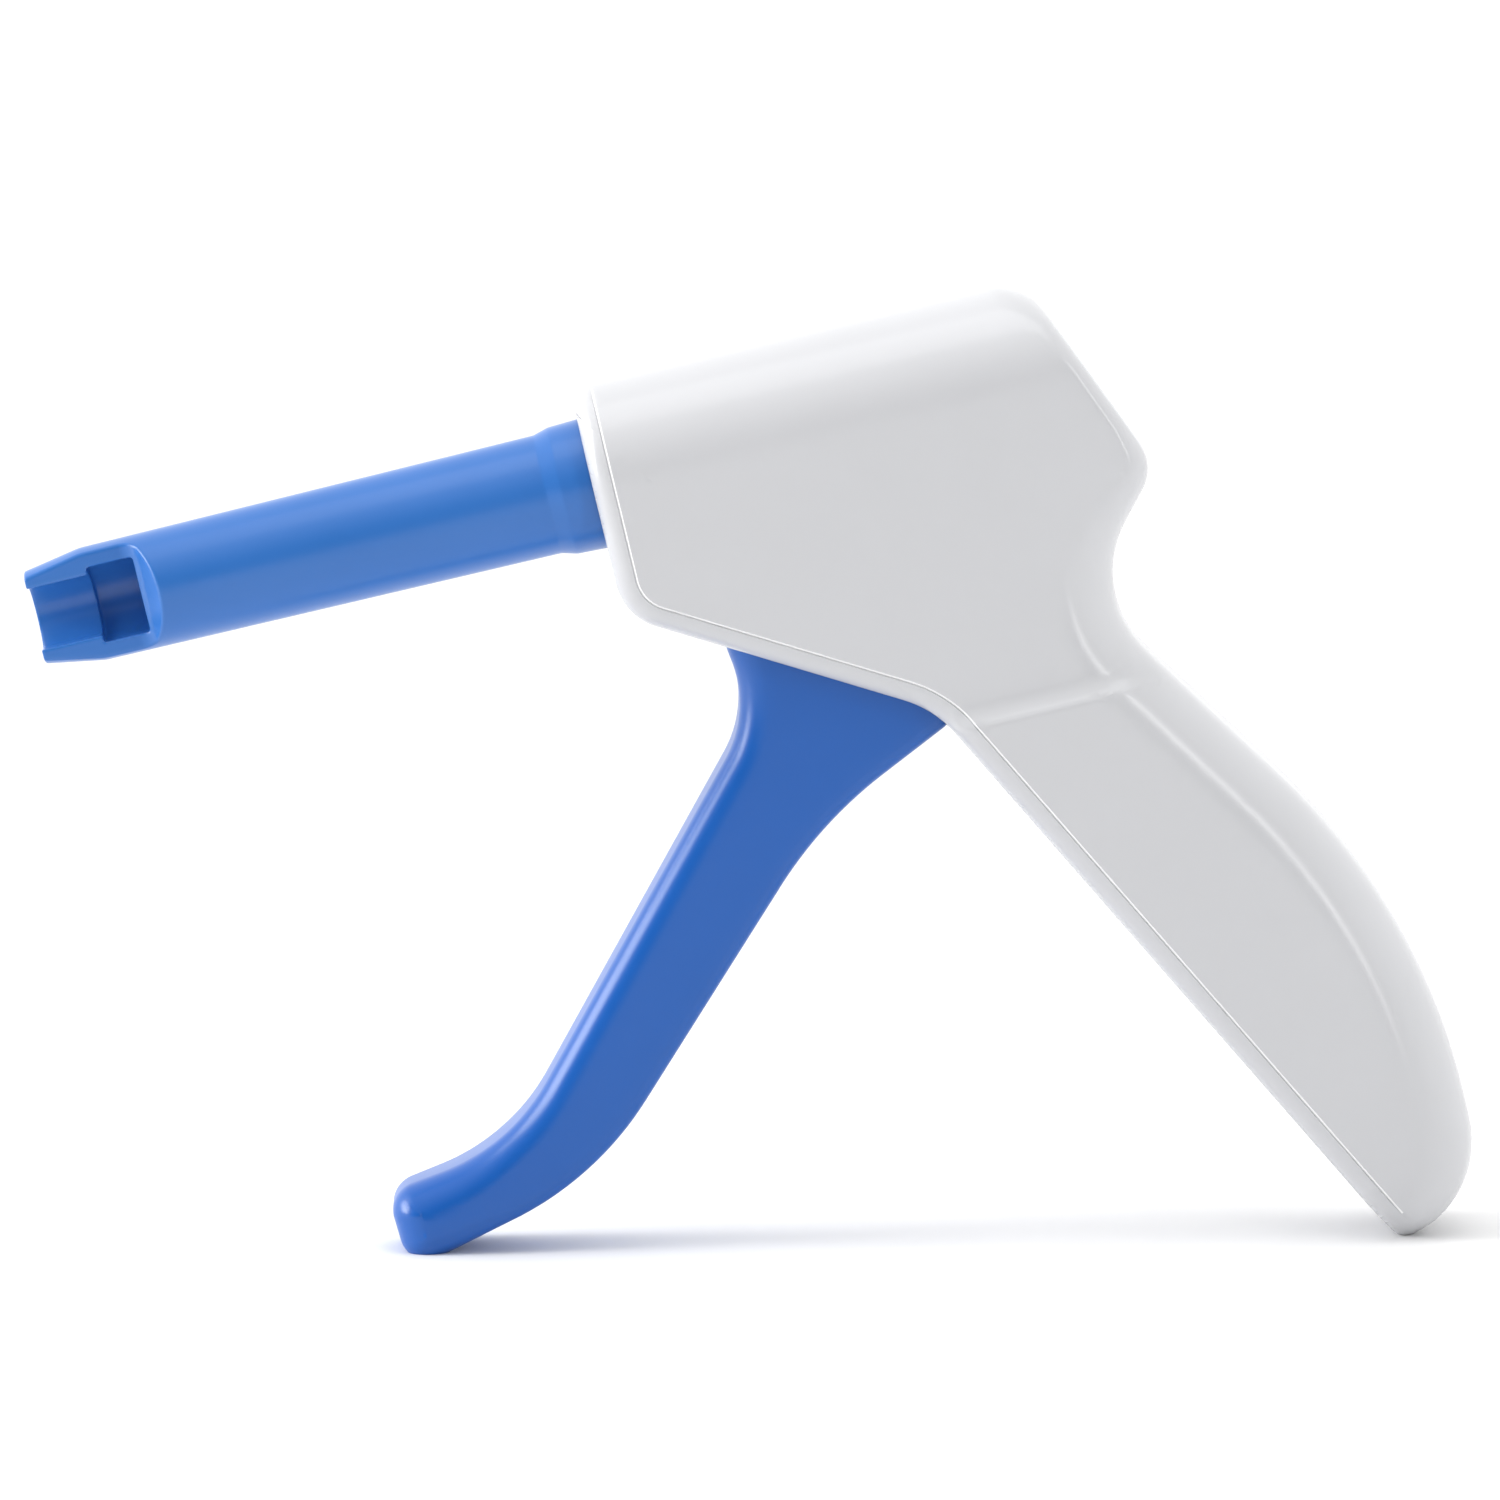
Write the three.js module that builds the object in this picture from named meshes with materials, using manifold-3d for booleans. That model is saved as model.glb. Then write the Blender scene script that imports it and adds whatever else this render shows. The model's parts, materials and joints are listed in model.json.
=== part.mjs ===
// A capsule dispensing gun: a two-part pistol shell, a swivelling barrel with a side-loading cradle,
// and a lever trigger whose fork drives a sprung plunger rod. Millimetres, +Z up, muzzle towards -X.
//
// Everything is laid out in the gun's own frame: u runs back along the barrel's axis from the front
// of the shell, v runs up across it, and y runs from the left side to the right. The whole gun is
// then tipped so that it stands on the trigger's toe and the grip's tip.

import * as THREE from 'three';
import { mergeVertices } from 'three/addons/utils/BufferGeometryUtils.js';
import Module from 'manifold-3d';

const wasm = await Module();
wasm.setup();

// ---- Driving dimensions -------------------------------------------------------------------------

const GAP = 0.3; // clearance between neighbouring pieces
const CHORD_ERROR = 0.1; // largest distance between an arc and its chords
const ROUND_STEPS = 32; // sides of a large round
const SMALL_ROUND_STEPS = 20; // sides of a small round
const BEYOND = 120; // reaches past the whole gun from the barrel's axis
const FAR_SIDE = 20; // reaches past the gun's sides

const STANCE_TILT = THREE.MathUtils.degToRad(12.5); // the muzzle dips by this much
const FLOOR_BELOW_AXIS = 79.6; // from the barrel's axis at the shell's front down to the floor

const BODY_HALF = 10.3; // half thickness of the shell, and radius of its vaulted top
const GRIP_HALF = 11.5; // half thickness of the grip
const SHELL_EDGE = 2.1; // rounding along the shell's edges
const WALL = 2.0;

const PIVOT = { u: 23, v: -18.5 };
const PULL = THREE.MathUtils.degToRad(35); // full swing of the trigger
const THRUST_HEIGHT = -PIVOT.v; // from the pivot up to the plunger's axis
const THRUST_U = PIVOT.u + THRUST_HEIGHT * Math.tan(PULL / 2); // cross pin at rest
const FORK = { foot: 6, head: 4, reach: 22.5, slotFloor: THRUST_HEIGHT - 2.4, play: 0.35 };

const TRIGGER_HALF = 6.5;
const TRIGGER_EDGE = 2.6;
const HEAD_RADIUS = 13.45; // trigger's round head, which closes the slot as it swings

const TIP_U = -59.6; // muzzle end of the barrel
const TAPER_U = -53.2; // where the muzzle's taper starts
const SEAT_U = -52.9; // step that the capsule's flange rests against
const POCKET_U = -47.9; // back wall of the flange pocket
const CRADLE_CUT = 2.25; // the cradle's open side, in front of the axis
const CRADLE_RAMP = { start: -47.9, end: -44.3, depth: 9 }; // slope at the back of the open side
const CHANNEL_HALF = 3.25;
const POCKET_HALF = 4.0;

const MUZZLE_R = 4.75;
const SHAFT_R = { front: 5.9, back: 6.07 };
const FLARE = { start: -4.7, end: -3.1, radius: 6.6 }; // cone between the shaft and the collar
const COLLAR_R = 6.75;
const O_RING_GROOVE = { start: 0.5, end: 2.1, floor: 5.3 };
const O_RING = { start: 0.7, end: 1.9, inner: 5.6, outer: 6.9 };
const RIB_GROOVE = { start: 2.9, end: 5.1, floor: 5.6 }; // turns round the shell's retaining rib
const SEAT_BORE_R = COLLAR_R + GAP;
const BARREL_END_U = 7.1;
const SPRING_BORE_R = 4.1;
const SPRING_SHOULDER_U = -8;
const ROD_BORE_R = 3.2;
const ROD_BORE_END_U = -45.5;
const TIP_HOLE_R = 2.3;
const ROD_GUIDE_END_U = -38;
const WASHER_THICKNESS = 0.8;

const ROD_R = 1.75;
const PLUNGER_TIP_R = 1.95;
const PLUNGER_NOSE_U = -47.6;
const PLUNGER_TIP_LENGTH = 4;
const SPIGOT_R = 1.0;
const SPIGOT_LENGTH = 2.5;
const THRUST_PIN_R = 1.5;
const THRUST_PIN_HALF = 7.6;
const CLIP = { start: 6.6, end: 7.2, radius: 3, mouth: 1.1 };
const ROD_HOLE_END_U = THRUST_U - THRUST_PIN_R - 1; // floor of the thrust block's hole for the rod
const TAIL_R = 1.8;
const TAIL_END_U = 49.2;
const BLOCK_HALF = { u: 4, y: 3.7, v: 3.6 };
const NOSE_R = 2.8;
const NOSE_LENGTH = 3.3;
const BUMPER_R = 3.1;

const SPRING_R = 3.4;
const SPRING_WIRE_R = 0.35;
const SPRING_TURNS = 10;

const PIVOT_PIN_R = 2.0;
const PIVOT_PIN_END = 9.3;
const PIVOT_HOLE_END = PIVOT_PIN_END + GAP;
const HUB_HOLE_R = 3.2;
const PIVOT_BUSH = { start: 2.8, flange: 0.5, radius: 4.4 };
const PIVOT_PAD = { start: TRIGGER_HALF + 1.1, radius: 5 };
const SEAT = { start: 1, end: 8.6, radius: 9 }; // ring in the shell that the barrel's collar turns in
const GUIDE_RIB = { start: 35.4, end: 37.4, low: -7, high: 8.6 };
const GUIDE_BUSH_R = 3.5;
const INTO_WALL = 9; // fittings run this far out, into the shell's wall
const BOSS_END = 9.7;

const SCREW = { shank: 1.35, head: 2.6, seat: 8.0, headHeight: 1.6, end: -6.0 };
const SCREW_RECESS = { long: 1.7, wide: 0.35, floor: SCREW.seat + GAP + 0.7, top: 12 };
const BOSS_R = 3.8;
const SCREW_PLACES = [
  [5.4, -10.7],
  [48.3, -8.5],
  [42.5, -27],
  [51.5, -52],
  [63.3, -84],
];

// Corners of the shell's side outline: [u, v, rounding].
const BODY_CORNERS = [
  [0.15, 10.3, 2.4], // front top
  [48.2, 10.3, 4.2], // top back
  [57.05, -11.08, 5], // web of the thumb rest
  [47.25, -22.86, 11.5], // neck
  [73.3, -62.2, 68], // grip's back
  [73.3, -92.5, 11], // grip's heel
  [63.61, -96.58, 2.4], // grip's tip
  [29.1, -30.36, 12], // where the grip leaves the underside
  [0.15, -13.42, 6], // front bottom
];

// Corners of the trigger's side outline, with the round head about the pivot.
const TRIGGER_CORNERS = [
  [-38.0, -66.24, 3], // toe top
  [-37.45, -75.27, 4], // toe bottom
  [-16.2, -70.17, 34], // toe's sole
  [15.16, -39.47, 45], // back of the lever
  [31.5, -31.85, 3.2], // heel, inside the shell
  [29.5, -14, 3.2], // behind the hub
  [13.2, -8.6, 3.2], // in front of the hub
  [8.98, -15.89, HEAD_RADIUS], // front of the head, an arc about the pivot
  [10.6, -26.4, 12], // throat
  [-23.96, -64.27, 16], // instep
];

// Side profile of the slot that lets the trigger swing into the shell.
const SLOT_CORNERS = [
  [9.25, -13],
  [9.25, -45],
  [28, -45],
  [31, -39.4],
  [35.5, -37.1],
  [35.5, -13],
];

// ---- Outlines -----------------------------------------------------------------------------------

// Rounds each corner [x, y, radius] with an arc tangent to both of its edges.
function rounded(corners) {
  const points = corners.map(([x, y]) => new THREE.Vector2(x, y));
  const outline = [];
  corners.forEach(([, , radius = 0], i) => {
    const here = points[i];
    if (radius === 0) {
      outline.push(here);
      return;
    }
    const back = points.at(i - 1).clone().sub(here).normalize();
    const ahead = points[(i + 1) % points.length].clone().sub(here).normalize();
    const half = Math.acos(back.dot(ahead)) / 2;
    const centre = back.clone().add(ahead).normalize().multiplyScalar(radius / Math.sin(half)).add(here);
    const start = back.multiplyScalar(radius / Math.tan(half)).add(here).sub(centre);
    const turn = Math.sign(start.cross(here.clone().sub(centre))) * (Math.PI - 2 * half);
    const chord = 2 * Math.acos(1 - CHORD_ERROR / Math.max(radius, 2 * CHORD_ERROR));
    const steps = Math.ceil(Math.abs(turn) / chord) + 1;
    for (let k = 0; k <= steps; k += 1) {
      outline.push(start.clone().rotateAround(new THREE.Vector2(), (turn * k) / steps).add(centre));
    }
  });
  return outline;
}

// Moves every edge of a clockwise outline inwards; hollow corners open up and others tighten.
function inset(corners, distance) {
  const points = corners.map(([x, y]) => new THREE.Vector2(x, y));
  return corners.map(([, , radius], i) => {
    const here = points[i];
    const along = here.clone().sub(points.at(i - 1)).normalize();
    const onward = points[(i + 1) % points.length].clone().sub(here).normalize();
    const bend = along.cross(onward);
    const shift = distance / Math.cos(Math.asin(bend) / 2);
    const inward = new THREE.Vector2(along.y + onward.y, -along.x - onward.x).normalize();
    const moved = inward.multiplyScalar(shift).add(here);
    return [moved.x, moved.y, bend < 0 ? Math.max(radius - distance, 0.3) : radius + distance];
  });
}

// ---- Solids -------------------------------------------------------------------------------------

// Joins a geometry's shared vertices and drops the triangles that collapse, such as those at a pole.
function solid(geometry) {
  const bare = geometry.clone();
  bare.deleteAttribute('normal');
  bare.deleteAttribute('uv');
  const merged = mergeVertices(bare, 1e-5);
  const corners = merged.index.array;
  const kept = [];
  for (let i = 0; i < corners.length; i += 3) {
    const [a, b, c] = corners.slice(i, i + 3);
    if (a !== b && b !== c && c !== a) {
      kept.push(a, b, c);
    }
  }
  const vertProperties = new Float32Array(merged.attributes.position.array);
  return new wasm.Manifold(new wasm.Mesh({ numProp: 3, vertProperties, triVerts: new Uint32Array(kept) }));
}

// A side outline in (u, v), given thickness from yLow to yHigh.
function slab(corners, yLow, yHigh, edge = 0) {
  const geometry = new THREE.ExtrudeGeometry(new THREE.Shape(rounded(corners)), {
    depth: yHigh - yLow - 2 * edge,
    bevelEnabled: edge > 0,
    bevelThickness: edge,
    bevelSize: edge,
    bevelOffset: -edge,
    bevelSegments: 3,
  });
  geometry.translate(0, 0, edge - yHigh);
  geometry.rotateX(Math.PI / 2);
  return solid(geometry);
}

// A cross-section in (y, v), carried along the barrel's axis from uLow to uHigh.
function beam(corners, uLow, uHigh) {
  const geometry = new THREE.ExtrudeGeometry(new THREE.Shape(rounded(corners)), {
    depth: uHigh - uLow,
    bevelEnabled: false,
  });
  geometry.translate(0, 0, uLow);
  const toGun = new THREE.Matrix4().makeBasis(
    new THREE.Vector3(0, 1, 0),
    new THREE.Vector3(0, 0, 1),
    new THREE.Vector3(1, 0, 0),
  );
  geometry.applyMatrix4(toGun);
  return solid(geometry);
}

// A turned piece about the barrel's axis, from a closed profile of [u, radius] points.
function turned(profile, steps = ROUND_STEPS) {
  const points = profile.map(([u, r]) => new THREE.Vector2(r, u));
  points.push(points[0].clone());
  const geometry = new THREE.LatheGeometry(points, steps);
  geometry.rotateZ(-Math.PI / 2);
  return solid(geometry);
}

// A round bar or ring along the barrel's axis.
function axial(uLow, uHigh, outer, inner = 0, steps = SMALL_ROUND_STEPS) {
  return turned([[uHigh, inner], [uLow, inner], [uLow, outer], [uHigh, outer]], steps);
}

// A round bar across the gun.
function crossBar(u, v, yLow, yHigh, radius, steps = SMALL_ROUND_STEPS) {
  const geometry = new THREE.CylinderGeometry(radius, radius, yHigh - yLow, steps);
  geometry.translate(u, (yLow + yHigh) / 2, v);
  return solid(geometry);
}

function block(uLow, uHigh, yLow, yHigh, vLow, vHigh) {
  const geometry = new THREE.BoxGeometry(uHigh - uLow, yHigh - yLow, vHigh - vLow);
  geometry.translate((uLow + uHigh) / 2, (yLow + yHigh) / 2, (vLow + vHigh) / 2);
  return solid(geometry);
}

// Everything under the floor that the tipped gun stands on.
function underFloor() {
  const depth = 20;
  const geometry = new THREE.BoxGeometry(2.5 * BEYOND, 3 * FAR_SIDE, depth);
  geometry.translate(0, 0, -FLOOR_BELOW_AXIS - depth / 2);
  geometry.rotateY(STANCE_TILT);
  return solid(geometry);
}

// ---- Shells -------------------------------------------------------------------------------------

// Cross-section with a half-round top about the barrel's axis, [y, v].
function vault(half) {
  return [
    [-half, -BEYOND],
    [half, -BEYOND],
    [half, half, half - 0.01],
    [-half, half, half - 0.01],
  ];
}

// The grip swells from the body's thickness to its own over a short slope.
const SWELL_TOP = -31.5;
const SWELL_BOTTOM = -35.5;
const GRIP_SECTION = [
  [-GRIP_HALF - 1, -BEYOND],
  [GRIP_HALF + 1, -BEYOND],
  [GRIP_HALF + 1, SWELL_BOTTOM - 4],
  [GRIP_HALF, SWELL_BOTTOM],
  [BODY_HALF, SWELL_TOP],
  [-BODY_HALF, SWELL_TOP],
  [-GRIP_HALF, SWELL_BOTTOM],
  [-GRIP_HALF - 1, SWELL_BOTTOM - 4],
];

function outerForm() {
  const body = slab(BODY_CORNERS, -BODY_HALF, BODY_HALF, SHELL_EDGE);
  const swollen = slab(BODY_CORNERS, -GRIP_HALF, GRIP_HALF, SHELL_EDGE);
  const grip = swollen.intersect(beam(GRIP_SECTION, -FAR_SIDE, BEYOND));
  return body.intersect(beam(vault(BODY_HALF), -FAR_SIDE, BEYOND)).add(grip);
}

function cavity() {
  const corners = inset(BODY_CORNERS, WALL);
  const half = BODY_HALF - WALL;
  const gripHalf = GRIP_HALF - WALL;
  const body = slab(corners, -half, half).intersect(beam(vault(half), -FAR_SIDE, BEYOND));
  const gripSpace = block(0, BEYOND, -FAR_SIDE, FAR_SIDE, -BEYOND, SWELL_BOTTOM - WALL);
  const grip = slab(corners, -gripHalf, gripHalf).intersect(gripSpace);
  return body.add(grip);
}

// Ribs and bosses that grow from the walls towards the parting plane.
function shellFittings() {
  const barrelSeat = axial(SEAT.start, SEAT.end, SEAT.radius, 0, ROUND_STEPS);
  const { start, end, low, high } = GUIDE_RIB;
  const guideRib = block(start, end, -INTO_WALL, INTO_WALL, low, high);
  const pivotPads = crossBar(PIVOT.u, PIVOT.v, -INTO_WALL, -PIVOT_PAD.start, PIVOT_PAD.radius)
    .add(crossBar(PIVOT.u, PIVOT.v, PIVOT_PAD.start, INTO_WALL, PIVOT_PAD.radius));
  const bosses = SCREW_PLACES.map(([u, v]) => crossBar(u, v, -BOSS_END, BOSS_END, BOSS_R));
  return [guideRib, pivotPads, ...bosses].reduce((sum, piece) => sum.add(piece), barrelSeat);
}

function shellHoles() {
  const ribStart = RIB_GROOVE.start + GAP;
  const ribEnd = RIB_GROOVE.end - GAP;
  const ribBore = RIB_GROOVE.floor + GAP;
  const seatBore = turned([
    [-1, 0],
    [-1, SEAT_BORE_R],
    [ribStart, SEAT_BORE_R],
    [ribStart, ribBore],
    [ribEnd, ribBore],
    [ribEnd, SEAT_BORE_R],
    [SEAT.end + 1, SEAT_BORE_R],
    [SEAT.end + 1, 0],
  ]);
  const guideBore = axial(GUIDE_RIB.start - 1, GUIDE_RIB.end + 1, GUIDE_BUSH_R + GAP);
  const pivotHole = crossBar(PIVOT.u, PIVOT.v, -PIVOT_HOLE_END, PIVOT_HOLE_END, PIVOT_PIN_R + GAP);
  const slotHalf = TRIGGER_HALF + GAP;
  const slot = slab(SLOT_CORNERS, -slotHalf, slotHalf);
  return [guideBore, pivotHole, slot].reduce((sum, piece) => sum.add(piece), seatBore);
}

function screwHoles() {
  const holes = SCREW_PLACES.map(([u, v]) => {
    const shank = crossBar(u, v, SCREW.end - 1, INTO_WALL, SCREW.shank + GAP);
    return shank.add(crossBar(u, v, SCREW.seat, SCREW_RECESS.top + 2, SCREW.head + GAP));
  });
  return holes.reduce((sum, hole) => sum.add(hole));
}

function shells() {
  const outer = outerForm();
  const fittings = shellFittings().intersect(outer);
  const whole = outer.subtract(cavity()).add(fittings).subtract(shellHoles());
  const made = whole.subtract(screwHoles()).subtract(underFloor());
  return {
    left: made.intersect(block(-FAR_SIDE, BEYOND, -FAR_SIDE, -GAP / 2, -BEYOND, FAR_SIDE)),
    right: made.intersect(block(-FAR_SIDE, BEYOND, GAP / 2, FAR_SIDE, -BEYOND, FAR_SIDE)),
  };
}

function housingScrew([u, v]) {
  const headLow = SCREW.seat + GAP;
  const head = crossBar(u, v, headLow, headLow + SCREW.headHeight, SCREW.head);
  const shank = crossBar(u, v, SCREW.end, headLow + 0.1, SCREW.shank, 16);
  const { long, wide, floor, top } = SCREW_RECESS;
  const slotAlong = block(u - long, u + long, floor, top, v - wide, v + wide);
  const slotAcross = block(u - wide, u + wide, floor, top, v - long, v + long);
  return head.add(shank).subtract(slotAlong).subtract(slotAcross);
}

// ---- Barrel -------------------------------------------------------------------------------------

function barrel() {
  const tube = turned([
    [TIP_U, 0],
    [TIP_U, MUZZLE_R],
    [TAPER_U, SHAFT_R.front],
    [FLARE.start, SHAFT_R.back],
    [FLARE.end, FLARE.radius],
    [0, COLLAR_R],
    [O_RING_GROOVE.start, COLLAR_R],
    [O_RING_GROOVE.start, O_RING_GROOVE.floor],
    [O_RING_GROOVE.end, O_RING_GROOVE.floor],
    [O_RING_GROOVE.end, COLLAR_R],
    [RIB_GROOVE.start, COLLAR_R],
    [RIB_GROOVE.start, RIB_GROOVE.floor],
    [RIB_GROOVE.end, RIB_GROOVE.floor],
    [RIB_GROOVE.end, COLLAR_R],
    [BARREL_END_U, COLLAR_R],
    [BARREL_END_U, SPRING_BORE_R],
    [SPRING_SHOULDER_U, SPRING_BORE_R],
    [SPRING_SHOULDER_U, ROD_BORE_R],
    [ROD_BORE_END_U, ROD_BORE_R],
    [ROD_BORE_END_U, 0],
  ]);
  const openSide = [
    [TIP_U - 2, -CRADLE_CUT],
    [TIP_U - 2, -CRADLE_RAMP.depth],
    [CRADLE_RAMP.end, -CRADLE_RAMP.depth],
    [CRADLE_RAMP.start, -CRADLE_CUT],
  ];
  const opening = new THREE.ExtrudeGeometry(new THREE.Shape(rounded(openSide)), {
    depth: FAR_SIDE,
    bevelEnabled: false,
  });
  opening.translate(0, 0, -FAR_SIDE / 2);
  return tube
    .subtract(solid(opening))
    .subtract(trough(TIP_U - 1, SEAT_U + 1, CHANNEL_HALF))
    .subtract(trough(SEAT_U, POCKET_U, POCKET_HALF))
    .subtract(axial(POCKET_U - 1, ROD_BORE_END_U + 1, TIP_HOLE_R));
}

// A round-bottomed channel along the axis, open towards the left side.
function trough(uLow, uHigh, half) {
  const section = [
    [-CRADLE_RAMP.depth, -half],
    [half, -half, half - 0.01],
    [half, half, half - 0.01],
    [-CRADLE_RAMP.depth, half],
  ];
  return beam(section, uLow, uHigh);
}

// ---- Plunger ------------------------------------------------------------------------------------

function thrustBlock() {
  const { u: halfU, y: halfY, v: halfV } = BLOCK_HALF;
  const low = THRUST_U - halfU;
  const high = THRUST_U + halfU;
  const body = block(low, high, -halfY, halfY, -halfV, halfV);
  const overlap = 0.5;
  const nose = axial(low - NOSE_LENGTH, low + overlap, NOSE_R);
  const tail = axial(high - overlap, TAIL_END_U, TAIL_R);
  const rodHole = axial(low - NOSE_LENGTH - 0.7, ROD_HOLE_END_U, ROD_R + GAP);
  const pinHole = crossBar(THRUST_U, 0, -halfY - 1.3, halfY + 1.3, THRUST_PIN_R + GAP);
  return body.add(nose).add(tail).subtract(rodHole).subtract(pinHole);
}

function plungerRod() {
  const end = ROD_HOLE_END_U - GAP;
  const shoulder = PLUNGER_NOSE_U + PLUNGER_TIP_LENGTH;
  return turned([
    [shoulder - SPIGOT_LENGTH, 0],
    [shoulder - SPIGOT_LENGTH, SPIGOT_R],
    [shoulder, SPIGOT_R],
    [shoulder, ROD_R],
    [end, ROD_R],
    [end, 0],
  ], SMALL_ROUND_STEPS);
}

function plungerTip() {
  const back = PLUNGER_NOSE_U + PLUNGER_TIP_LENGTH - GAP;
  const boreFloor = PLUNGER_NOSE_U + PLUNGER_TIP_LENGTH - SPIGOT_LENGTH - GAP;
  const dome = PLUNGER_TIP_R * 0.4;
  const bore = SPIGOT_R + GAP;
  return turned([
    [PLUNGER_NOSE_U, 0],
    [PLUNGER_NOSE_U, PLUNGER_TIP_R - dome],
    [PLUNGER_NOSE_U + dome, PLUNGER_TIP_R],
    [back, PLUNGER_TIP_R],
    [back, bore],
    [boreFloor, bore],
    [boreFloor, 0],
  ], SMALL_ROUND_STEPS);
}

class SpringCurve extends THREE.Curve {
  constructor(uLow, uHigh) {
    super();
    this.uLow = uLow;
    this.uHigh = uHigh;
  }

  getPoint(t, target = new THREE.Vector3()) {
    const angle = 2 * Math.PI * SPRING_TURNS * t;
    const u = THREE.MathUtils.lerp(this.uLow, this.uHigh, t);
    return target.set(u, SPRING_R * Math.cos(angle), SPRING_R * Math.sin(angle));
  }
}

function returnSpring(uLow, uHigh) {
  const section = new THREE.Shape();
  section.absarc(0, 0, SPRING_WIRE_R, 0, 2 * Math.PI);
  const geometry = new THREE.ExtrudeGeometry(section, {
    curveSegments: 3,
    steps: SPRING_TURNS * 12,
    extrudePath: new SpringCurve(uLow + SPRING_WIRE_R, uHigh - SPRING_WIRE_R),
  });
  return solid(geometry);
}

// ---- Trigger ------------------------------------------------------------------------------------

// One arm of the fork: it leans back by half the pull at rest, and its open slot takes the cross pin.
function forkArm(yLow, yHigh) {
  const { foot, head, reach, slotFloor, play } = FORK;
  const slotHalf = THRUST_PIN_R + play;
  const upright = [
    [-foot, 0],
    [-head, reach],
    [-slotHalf, reach],
    [-slotHalf, slotFloor, slotHalf - 0.01],
    [slotHalf, slotFloor, slotHalf - 0.01],
    [slotHalf, reach],
    [head, reach],
    [foot, 0],
  ];
  const lean = upright.map(([x, y, radius]) => {
    const point = new THREE.Vector2(x, y).rotateAround(new THREE.Vector2(), -PULL / 2);
    return [PIVOT.u + point.x, PIVOT.v + point.y, radius];
  });
  return slab(lean, yLow, yHigh);
}

function trigger() {
  const lever = slab(TRIGGER_CORNERS, -TRIGGER_HALF, TRIGGER_HALF, TRIGGER_EDGE);
  const armInner = Math.max(BLOCK_HALF.y, SPRING_R + SPRING_WIRE_R) + 0.4;
  const armOuter = TRIGGER_HALF - 0.2;
  const hubHole = crossBar(PIVOT.u, PIVOT.v, -TRIGGER_HALF - 1, TRIGGER_HALF + 1, HUB_HOLE_R);
  return lever
    .add(forkArm(armInner, armOuter))
    .add(forkArm(-armOuter, -armInner))
    .subtract(hubHole)
    .subtract(underFloor());
}

// A flanged bush on the pivot pin; side is -1 on the left and 1 on the right.
function pivotBush(side) {
  const flangeStart = TRIGGER_HALF + GAP;
  const end = flangeStart + PIVOT_BUSH.flange;
  const span = (from, to, radius) =>
    crossBar(PIVOT.u, PIVOT.v, Math.min(side * from, side * to), Math.max(side * from, side * to), radius);
  return span(PIVOT_BUSH.start, end, HUB_HOLE_R - GAP)
    .add(span(flangeStart, end, PIVOT_BUSH.radius))
    .subtract(span(PIVOT_BUSH.start - 1, end + 1, PIVOT_PIN_R + GAP));
}

// An open retaining ring on the cross pin.
function pinClip(yLow, yHigh) {
  const { radius, mouth } = CLIP;
  return crossBar(THRUST_U, 0, yLow, yHigh, radius)
    .subtract(crossBar(THRUST_U, 0, yLow - 1, yHigh + 1, THRUST_PIN_R + GAP))
    .subtract(block(THRUST_U - mouth, THRUST_U + mouth, yLow - 1, yHigh + 1, -radius - 2, 0));
}

// ---- Assembly -----------------------------------------------------------------------------------

const FINISH = {
  whiteAbs: { color: 0xf2f3f4, roughness: 0.42, metalness: 0 },
  blueAbs: { color: 0x2f6fd0, roughness: 0.38, metalness: 0 },
  steel: { color: 0xb9bcc0, roughness: 0.3, metalness: 1 },
  springSteel: { color: 0x8f9498, roughness: 0.35, metalness: 1 },
  bronze: { color: 0xb08a4a, roughness: 0.4, metalness: 1 },
  acetal: { color: 0xdcdcd6, roughness: 0.5, metalness: 0 },
  rubber: { color: 0x1d1e20, roughness: 0.8, metalness: 0 },
};

const gun = new THREE.Group();
const tipped = new THREE.Group();
tipped.rotation.y = -STANCE_TILT;
gun.add(tipped);

function place(name, made, finish) {
  const { vertProperties, triVerts } = made.getMesh();
  const geometry = new THREE.BufferGeometry();
  geometry.setAttribute('position', new THREE.Float32BufferAttribute(vertProperties, 3));
  geometry.setIndex(new THREE.Uint32BufferAttribute(triVerts, 1));
  geometry.computeVertexNormals();
  const mesh = new THREE.Mesh(geometry, new THREE.MeshStandardMaterial(FINISH[finish]));
  mesh.name = name;
  tipped.add(mesh);
}

const { left, right } = shells();
place('left_shell', left, 'whiteAbs');
place('right_shell', right, 'whiteAbs');
SCREW_PLACES.forEach((spot, i) => place(`housing_screw_${i + 1}`, housingScrew(spot), 'steel'));

place('barrel', barrel(), 'blueAbs');
place('barrel_o_ring', axial(O_RING.start, O_RING.end, O_RING.outer, O_RING.inner, ROUND_STEPS), 'rubber');
const rodGuideBore = PLUNGER_TIP_R + 0.35;
const rodGuide = axial(ROD_BORE_END_U + GAP, ROD_GUIDE_END_U, ROD_BORE_R - GAP, rodGuideBore);
place('rod_guide_bush', rodGuide, 'bronze');
const washerBack = SPRING_SHOULDER_U + GAP + WASHER_THICKNESS;
const washer = axial(SPRING_SHOULDER_U + GAP, washerBack, SPRING_BORE_R - GAP, ROD_R + GAP);
place('spring_seat_washer', washer, 'steel');

const blockFront = THRUST_U - BLOCK_HALF.u;
place('return_spring', returnSpring(washerBack + GAP, blockFront - GAP), 'springSteel');
place('plunger_rod', plungerRod(), 'steel');
place('plunger_tip', plungerTip(), 'acetal');
place('thrust_block', thrustBlock(), 'acetal');
place('thrust_pin', crossBar(THRUST_U, 0, -THRUST_PIN_HALF, THRUST_PIN_HALF, THRUST_PIN_R), 'steel');
place('thrust_pin_clip_left', pinClip(-CLIP.end, -CLIP.start), 'springSteel');
place('thrust_pin_clip_right', pinClip(CLIP.start, CLIP.end), 'springSteel');

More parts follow.
